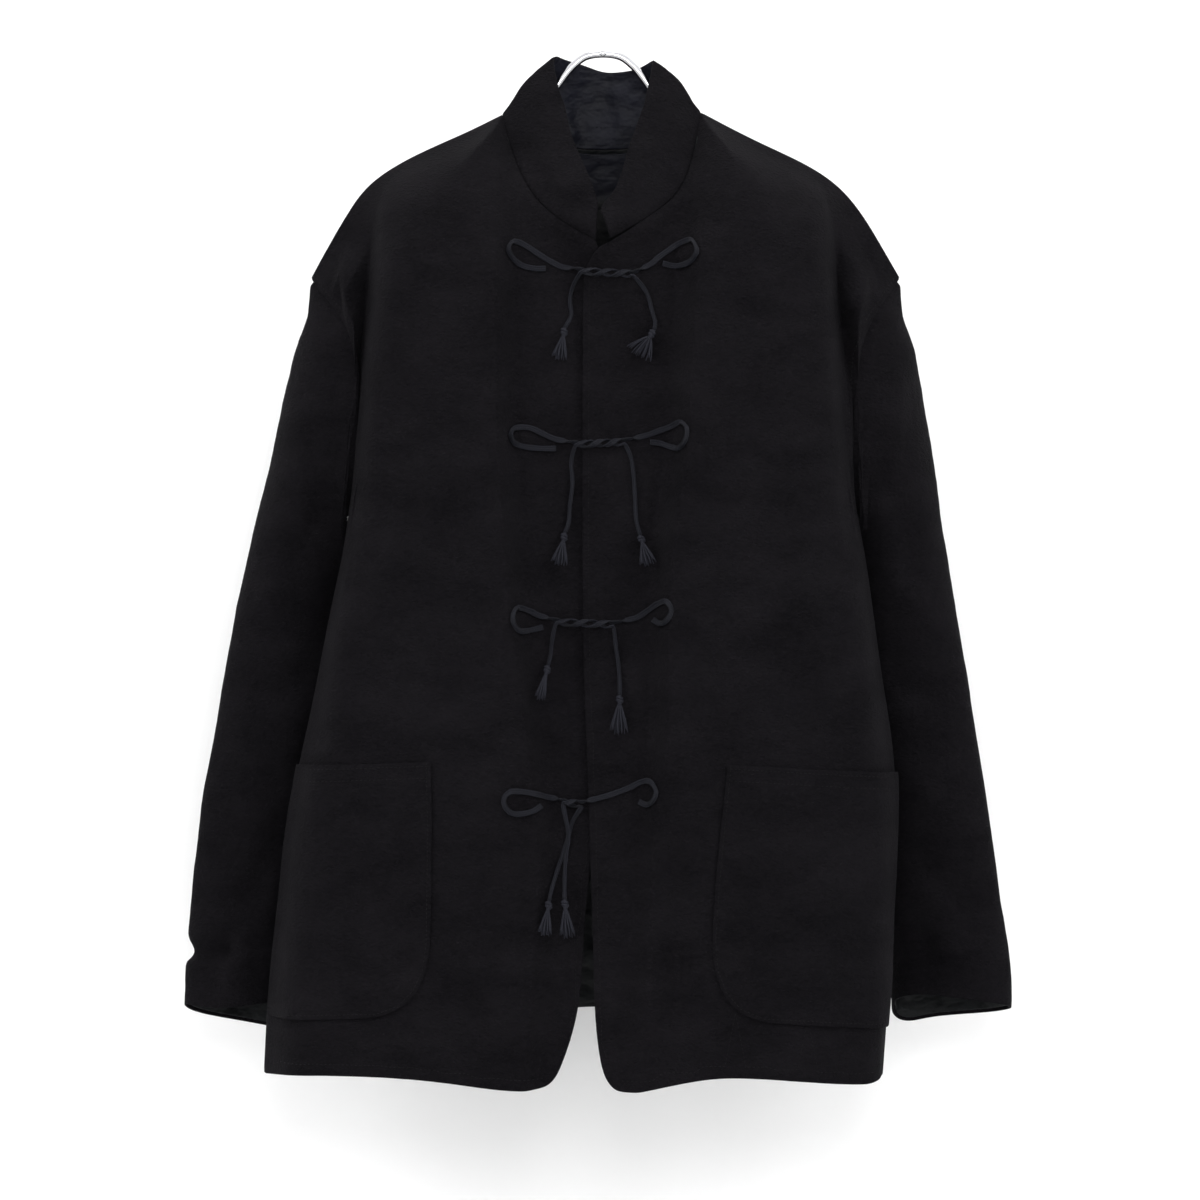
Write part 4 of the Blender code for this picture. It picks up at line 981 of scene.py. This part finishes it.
def tie_route(name, tree):
    """Points of a tie and the way its flat face looks, from its loop to the end of its tail."""
    side, row = name.split("_")
    tie = TIES[name]
    knot = KNOTS[int(row)]
    lie = BRAID_THICKNESS / 2 + 0.5
    rows = []
    edge_on = max(abs(x) for x, _ in tie["loop"])
    for x, d in tie["loop"]:
        turn = 0.8 * ease(1 - (edge_on - abs(x)) / 9)
        look = (math.copysign(turn, x), -1.0, 0.0)
        rows.append((x, cloth_y(tree, x, d, 2) - lie - turn * 1.2, d, *look))
    start = np.array(knot["start"], dtype=float)
    end = np.array(knot["end"], dtype=float)
    along = (end - start) / np.linalg.norm(end - start)
    steps = int(round(8 * knot["turns"]))
    twist = []
    lead = math.radians(45 if side == "right" else 225)
    for k in range(steps + 1):
        t = k / steps
        place = start + (end - start) * t
        angle = lead + 2 * math.pi * knot["turns"] * t
        floor = min(cloth_y(tree, place[0] + dx * along[0], place[1], 3) for dx in (-5, 0, 5))
        up = math.cos(angle)
        back = math.sin(angle)
        axis_y = floor - (KNOT_RADIUS + BRAID_THICKNESS / 2 + 0.7)
        twist.append((place[0], axis_y + KNOT_SPREAD * back, place[1] - KNOT_SPREAD * up,
                      0.0, back, -up))
    if side == "left":
        twist.reverse()
    rows += twist
    layer = BRAID_THICKNESS + 1.6 if name == "left_4" else 0.0
    rises = [1.2] + [0.3] * (len(tie["tail"]) - 3) + [TASSEL_RISE / 3, TASSEL_RISE]
    for k, (rise, (x, d)) in enumerate(zip(rises, tie["tail"])):
        roll = 0.5 * math.sin(1.7 * k + x)
        rows.append((x, cloth_y(tree, x, d, 3) - lie - layer - rise, d, roll, -1.0, 0.0))
    return smooth_route(rows, BRAID_STEP)


def sweep(work, layer, places, looks, widths, thicknesses, sides, squareness=1.0, ridges=0.0):
    """A closed tube with an oval section along a path, and its length and width kept on its points."""
    places = [Vector(p) for p in places]
    disc = bmesh.ops.create_circle(work, cap_ends=True, segments=sides, radius=1.0)
    face = disc["verts"][0].link_faces[0]
    first = list(face.verts)
    angles = [2 * math.pi * k / sides for k in range(sides)]
    gone = 0.0
    for k, place in enumerate(places):
        before = places[max(k - 1, 0)]
        after = places[min(k + 1, len(places) - 1)]
        way = (after - before).normalized()
        look = Vector(looks[k])
        look = (look - way * look.dot(way)).normalized()
        across = way.cross(look)
        if k:
            gone += (place - places[k - 1]).length
            face = bmesh.ops.extrude_discrete_faces(work, faces=[face])["faces"][0]
        for vert, angle in zip(face.verts, angles):
            c = math.copysign(abs(math.cos(angle)) ** squareness, math.cos(angle))
            s = math.copysign(abs(math.sin(angle)) ** squareness, math.sin(angle))
            s *= 1 - ridges * (1 - math.cos(3 * math.pi * c)) / 2
            vert.co = place + across * c * widths[k] / 2 + look * s * thicknesses[k] / 2
            vert[layer] = (gone, c * widths[k] / 2, s * thicknesses[k] / 2)
    bmesh.ops.contextual_create(work, geom=first)


def finish_piece(work, name, material):
    bmesh.ops.recalc_face_normals(work, faces=work.faces[:])
    mesh = bpy.data.meshes.new(name)
    work.to_mesh(mesh)
    work.free()
    for polygon in mesh.polygons:
        polygon.use_smooth = True
    mesh.materials.append(material)
    piece = link(bpy.data.objects.new(name, mesh))
    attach(piece, "root")
    return piece


def make_tie(name, tree, braid):
    route = tie_route(name, tree)
    path = to_world(route[:, :3])
    looks = route[:, 3:].copy()
    looks[:, 2] *= -1
    count = len(path)
    widths = []
    thicknesses = []
    for k in range(count):
        wave = 1 + 0.05 * math.sin(0.9 * k + len(name)) + 0.03 * math.sin(2.3 * k)
        narrow = 1 - TAIL_NARROWING * ease((k / count - 0.5) / 0.2)
        widths.append(BRAID_WIDTH * MM * wave * narrow)
        thicknesses.append(BRAID_THICKNESS * MM)
    work = bmesh.new()
    layer = work.verts.layers.float_vector.new("lay")
    sweep(work, layer, path, looks, widths, thicknesses, BRAID_SIDES, 0.55, BRAID_RIDGES)
    piece = finish_piece(work, "tie_" + name + "_braid", braid)
    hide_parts("tie_" + name)
    return piece, path


def make_tassel(name, path, tree, yarn):
    """An overhand knot in the end of the tie and the yarns that fan out below it."""
    x1, d1 = TIES[name]["tassel"]
    layer_gap = 5.0 if name == "left_4" else 0.0
    tip = Vector((x1 * MM, (cloth_y(tree, x1, d1, 6) - TASSEL_LIE - layer_gap) * MM, -d1 * MM))
    start = Vector(path[-1])
    axis = (tip - start).normalized()
    length = (tip - start).length
    look = (Vector((0, -1, 0)) - axis * Vector((0, -1, 0)).dot(axis)).normalized()
    side = axis.cross(look)
    work = bmesh.new()
    layer = work.verts.layers.float_vector.new("lay")
    middle = start + axis * 3.6 * MM
    turns = []
    for k in range(15):
        angle = 2 * math.pi * 1.6 * k / 14
        rise = (k / 14 - 0.5) * 4.4 * MM
        wrap = side * math.cos(angle) * 2.1 + look * math.sin(angle) * 1.5
        turns.append(middle + axis * rise + wrap * MM)
    outward = [(place - middle).normalized() for place in turns]
    sweep(work, layer, turns, outward, [2.7 * MM] * 15, [1.5 * MM] * 15, 8)
    core = [start, start + axis * 2.5 * MM, middle + axis * 2.5 * MM, middle + axis * 5 * MM]
    sweep(work, layer, core, [look] * 4, [2.6 * MM, 3.6 * MM, 3.4 * MM, 2.4 * MM],
          [1.8 * MM, 2.6 * MM, 2.6 * MM, 2.0 * MM], 8)
    neck = middle + axis * 3.4 * MM
    hang = length - 5.5 * MM
    spread = TIES[name]["spread"]
    for k in range(TASSEL_YARNS):
        turn = 2 * math.pi * (k * 0.381966)
        ring = math.sqrt((k + 0.5) / TASSEL_YARNS)
        across = ring * math.cos(turn)
        deep = ring * math.sin(turn)
        wander = 0.35 * math.sin(3.1 * k)
        reach = hang * (1 - 0.12 * ring + 0.06 * math.sin(5.3 * k))
        places = []
        for j in range(6):
            t = j / 5
            open_out = 0.14 + 0.86 * t ** 0.8
            curl = 0.4 * math.sin(2.2 * k + 5 * t) * t
            places.append(neck + axis * reach * t * (1 - 0.06 * abs(across) * spread)
                          + side * (across * TASSEL_HALF * spread * open_out + curl + wander * t) * MM
                          + look * (deep * TASSEL_DEPTH * open_out
                                    + 0.25 * math.cos(1.9 * k + 4 * t)) * MM)
        taper = [1.0, 1.05, 1.1, 1.1, 1.0, 0.6]
        sweep(work, layer, places, [look] * 6, [2 * YARN_RADIUS * MM * s for s in taper],
              [2 * YARN_RADIUS * MM * s for s in taper], 5)
    piece = finish_piece(work, "tassel_" + name + "_yarn", yarn)
    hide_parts("tassel_" + name)
    return piece


def make_ties(tree, braid, yarn):
    for name in TIES:
        tie, path = make_tie(name, tree, braid)
        tassel = make_tassel(name, path, tree, yarn)


def along_line(line, pitch):
    """Centres and directions of stitches along a line of places."""
    line = np.array(line, dtype=float)
    reach = np.concatenate([[0], np.cumsum(np.linalg.norm(np.diff(line, axis=0), axis=1))])
    count = int(reach[-1] / pitch)
    where = (np.arange(count) + 0.5) * pitch
    places = np.stack([np.interp(where, reach, line[:, k]) for k in range(line.shape[1])],
                      axis=1)
    ahead = np.stack([np.interp(where + 0.5, reach, line[:, k]) for k in range(line.shape[1])],
                     axis=1)
    return places, ahead


def sew(work, layer, tree, line, aim):
    """Stitches of one seam: each place is thrown onto the cloth along its own aim."""
    places, ahead = along_line(line, STITCH_LENGTH + STITCH_GAP)
    for place, onward in zip(places, ahead):
        ends = []
        for spot in (place, onward):
            start, way = aim(spot)
            hit = tree.ray_cast(start, way)
            if hit[0] is None:
                break
            ends.append((hit[0], hit[1] if hit[1].dot(way) < 0 else -hit[1]))
        if len(ends) < 2 or (ends[1][0] - ends[0][0]).length > 2 * MM:
            continue
        (spot, normal), (onward_spot, _) = ends
        along = (onward_spot - spot).normalized()
        across = normal.cross(along).normalized()
        turn = Matrix((along, across, normal)).transposed().to_4x4()
        size = Matrix.Diagonal((STITCH_LENGTH / 2 * MM, STITCH_RADIUS * MM, STITCH_RADIUS * MM, 1))
        sink = spot + normal * STITCH_RADIUS * 0.4 * MM
        made = bmesh.ops.create_icosphere(work, subdivisions=1, radius=1.0,
                                          matrix=Matrix.Translation(sink) @ turn @ size)
        for vert in made["verts"]:
            vert[layer] = (vert.co - spot).to_tuple()


def from_front(spot):
    return Vector((spot[0] * MM, -0.4, -spot[1] * MM)), Vector((0, 1, 0))


def from_back(spot):
    return Vector((spot[0] * MM, 0.4, -spot[1] * MM)), Vector((0, -1, 0))


def edge_line(node, offset, step=14.0):
    """Line down the middle front, inside a front's own edge."""
    points = np.array([v.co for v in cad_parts[node].data.vertices]) / MM
    side = 1 if node == "front_left" else -1
    line = []
    for drop in np.arange(176, 796, step):
        near = points[np.abs(-points[:, 2] - drop) < 22]
        line.append(((side * (side * near[:, 0]).min()) + side * offset, drop))
    return line


def hem_line(node, rise, ends):
    """Line along a panel's hem, above its lowest points."""
    points = np.array([v.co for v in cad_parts[node].data.vertices]) / MM
    line = []
    for x in np.linspace(ends[0], ends[1], 26):
        near = points[np.abs(points[:, 0] - x) < 13]
        low = np.sort(-near[:, 2])[-4:]
        line.append((x, float(low.mean()) - rise))
    return line


def pocket_lines(side):
    rows = POCKETS[side]
    sign = rows["side"]
    down = [(sign * (x + POCKET_INSET), d) for x, d in zip(rows["inner"], rows["drop"])][:-3]
    bend = [(rows["inner"][k] + POCKET_INSET * 0.8, rows["drop"][k] - POCKET_INSET * 0.75)
            for k in (-3, -2, -1)]
    floor = rows["drop"][-1] - POCKET_INSET
    run = rows["outer"][-1] - 4 - rows["inner"][-1]
    bottom = [(sign * (rows["inner"][-1] + run * t), floor + rows["skew"] * t)
              for t in (0.25, 0.5, 0.75, 1.0)]
    lines = [down + [(sign * x, d) for x, d in bend] + bottom]
    for inset in POCKET_ROWS:
        top = rows["drop"][0] + inset
        run = rows["outer"][0] - 3 - rows["inner"][0] - 2
        lines.append([(sign * (rows["inner"][0] + 2 + run * t), top + rows["skew"] * t)
                      for t in (0, 0.25, 0.5, 0.75, 1)])
    return lines


def armhole_lines(side):
    """Front and back lines on the body beside the armhole seam."""
    sign = 1 if side == "left" else -1
    points = np.array([v.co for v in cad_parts["sleeve_" + side].data.vertices]) / MM
    reach = point_tree(node_places("back", "front_left", "front_right"))
    ring = [p for p in points if reach.find(Vector(p * MM))[2] < SEAM_REACH * MM]
    lines = []
    for part in (-1, 1):
        half = sorted((p for p in ring if (p[1] - 6) * part > 0), key=lambda p: -p[2])
        lines.append([(p[0] - sign * 5.5, -p[2]) for p in half[::2]])
    return lines


def make_stitching(trees, thread):
    work = bmesh.new()
    layer = work.verts.layers.float_vector.new("lay")
    for side in ("left", "right"):
        for line in pocket_lines(side):
            sew(work, layer, trees["pockets"], line, from_front)
        front, back = armhole_lines(side)
        sew(work, layer, trees["body"], front, from_front)
        sew(work, layer, trees["body"], back, from_back)
    sew(work, layer, trees["front_left"], edge_line("front_left", EDGE_INSET), from_front)
    sew(work, layer, trees["front_right"], edge_line("front_right", EDGE_INSET), from_front)
    sew(work, layer, trees["front_left"], hem_line("front_left", HEM_RISE, (14, 216)), from_front)
    sew(work, layer, trees["front_right"], hem_line("front_right", HEM_RISE, (-46, -262)), from_front)
    sew(work, layer, trees["back"], hem_line("back", HEM_RISE, (-262, 216)), from_back)
    for drop in NECK_ROWS:
        sew(work, layer, trees["neck"], [(-27, drop), (0, drop + 1), (27, drop)], from_front)
    return finish_piece(work, "stitching", thread)


def make_hanger(chrome):
    right = [(-x, 0.0, d) for x, d in zip(ARM["x"], ARM["drop"])][::-1]
    left = [(x, 0.0, d) for x, d in zip(ARM["x"], ARM["drop"])]
    arch = [(x, 0.0, d) for x, d in zip(ARCH["x"], ARCH["drop"])]
    route = to_world(smooth_route(right + arch + left, 3.0))
    work = bmesh.new()
    layer = work.verts.layers.float_vector.new("lay")
    count = len(route)
    width = [2 * ROD_RADIUS * MM] * count
    width[0] = width[-1] = 2 * ROD_RADIUS * 0.8 * MM
    sweep(work, layer, route, [(0, -1, 0)] * count, width, width, 24)
    rod = finish_piece(work, "hanger_rod", chrome)
    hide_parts("hanger")
    work = bmesh.new()
    bmesh.ops.create_uvsphere(work, u_segments=32, v_segments=20, radius=2.6 * MM)
    bmesh.ops.scale(work, verts=work.verts[:], vec=(1, 0.6, 1))
    bmesh.ops.translate(work, verts=work.verts[:], vec=(0, -4.7 * MM, ROD_RADIUS * MM))
    rivet = finish_piece(work, "hanger_rivet_head", chrome)
    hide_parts("hanger_rivet")


# Stage and light

def add_plane(name, material, corners):
    work = bmesh.new()
    bmesh.ops.create_grid(work, x_segments=1, y_segments=1, size=0.5)
    for vert, corner in zip(work.verts, corners):
        vert.co = corner
    mesh = bpy.data.meshes.new(name)
    work.to_mesh(mesh)
    work.free()
    mesh.materials.append(material)
    plane = link(bpy.data.objects.new(name, mesh))


def make_stage():
    """A pale floor, and a wall that can be seen only from the front."""
    floor, _, _ = new_material("pale_floor", (0.62, 0.62, 0.62), 0.8)
    half = ROOM / 2
    add_plane("floor", floor, [(-half, -half, FLOOR_Z), (half, -half, FLOOR_Z), (-half, half, FLOOR_Z),
                               (half, half, FLOOR_Z)])
    wall, tree, shader = new_material("pale_wall", (0.93, 0.93, 0.93), 0.9)
    shader.inputs["Emission Color"].default_value = (1, 1, 1, 1)
    shader.inputs["Emission Strength"].default_value = WALL_GLOW
    out = tree.nodes["Material Output"]
    mix = tree.nodes.new("ShaderNodeMixShader")
    clear = tree.nodes.new("ShaderNodeBsdfTransparent")
    sight = tree.nodes.new("ShaderNodeNewGeometry")
    tree.links.new(sight.outputs["Backfacing"], mix.inputs[0])
    tree.links.new(shader.outputs[0], mix.inputs[1])
    tree.links.new(clear.outputs[0], mix.inputs[2])
    tree.links.new(mix.outputs[0], out.inputs["Surface"])
    add_plane("wall", wall, [(-half, WALL_Y, FLOOR_Z), (half, WALL_Y, FLOOR_Z),
                             (-half, WALL_Y, WALL_TOP), (half, WALL_Y, WALL_TOP)])


def add_light(name, place, target, size, power):
    data = bpy.data.lights.new(name, "AREA")
    data.shape = "DISK"
    data.size = size
    data.energy = power
    light = link(bpy.data.objects.new(name, data))
    light.location = place
    light.rotation_euler = (Vector(target) - Vector(place)).to_track_quat("-Z", "Y").to_euler()


def make_light():
    world = bpy.data.worlds.new("studio")
    world.use_nodes = True
    world.node_tree.nodes["Background"].inputs["Color"].default_value = (1, 1, 1, 1)
    world.node_tree.nodes["Background"].inputs["Strength"].default_value = WORLD_STRENGTH
    bpy.context.scene.world = world
    for name, (place, target, size, power) in LIGHTS.items():
        add_light(name, place, target, size, power)
    bpy.context.scene.view_settings.view_transform = "Standard"


add_camera()
NAP = make_nap_group()
RIBS = make_rib_group()
CLOTH = make_cloth("napped_cloth", NAP)
SATIN = make_satin("blue_black_satin", RIBS, *INNER_SATIN_TONES)
# The neck satin carries painted light in its lighter tones and painted shade below its level.
PAINTED_NECK_SATIN = make_satin("painted_neck_satin", RIBS, *NECK_SATIN_LIT_TONES, NECK_SATIN_SHADE_Z)
BRAID = make_braid("flat_braid", RIBS, NAP)
YARN = make_yarn("tassel_yarn", RIBS, *YARN_TONES)
THREAD = make_yarn("sewing_thread", RIBS, *THREAD_TONES)
CHROME = make_chrome("polished_chrome")
SEWN = ("back", "front_left", "front_right", "sleeve_left", "sleeve_right", "collar")
BODY = make_body(CLOTH, SATIN, SEWN, FLATS)
make_sleeves(CLOTH, SATIN, SEWN, FLATS)
NECK = make_collar(CLOTH, PAINTED_NECK_SATIN, SEWN, FLATS)
POCKET_SHELLS = make_pockets(CLOTH, SATIN, FLATS)
FRONTS = surface_tree([BODY["front_left"], BODY["front_right"]])
SEWN_ON = {name: surface_tree([shell]) for name, shell in BODY.items()}
SEWN_ON["body"] = surface_tree(BODY.values())
SEWN_ON["pockets"] = surface_tree(POCKET_SHELLS)
SEWN_ON["neck"] = surface_tree(NECK)
make_stitching(SEWN_ON, THREAD)
make_ties(FRONTS, BRAID, YARN)
make_hanger(CHROME)
make_stage()
make_light()
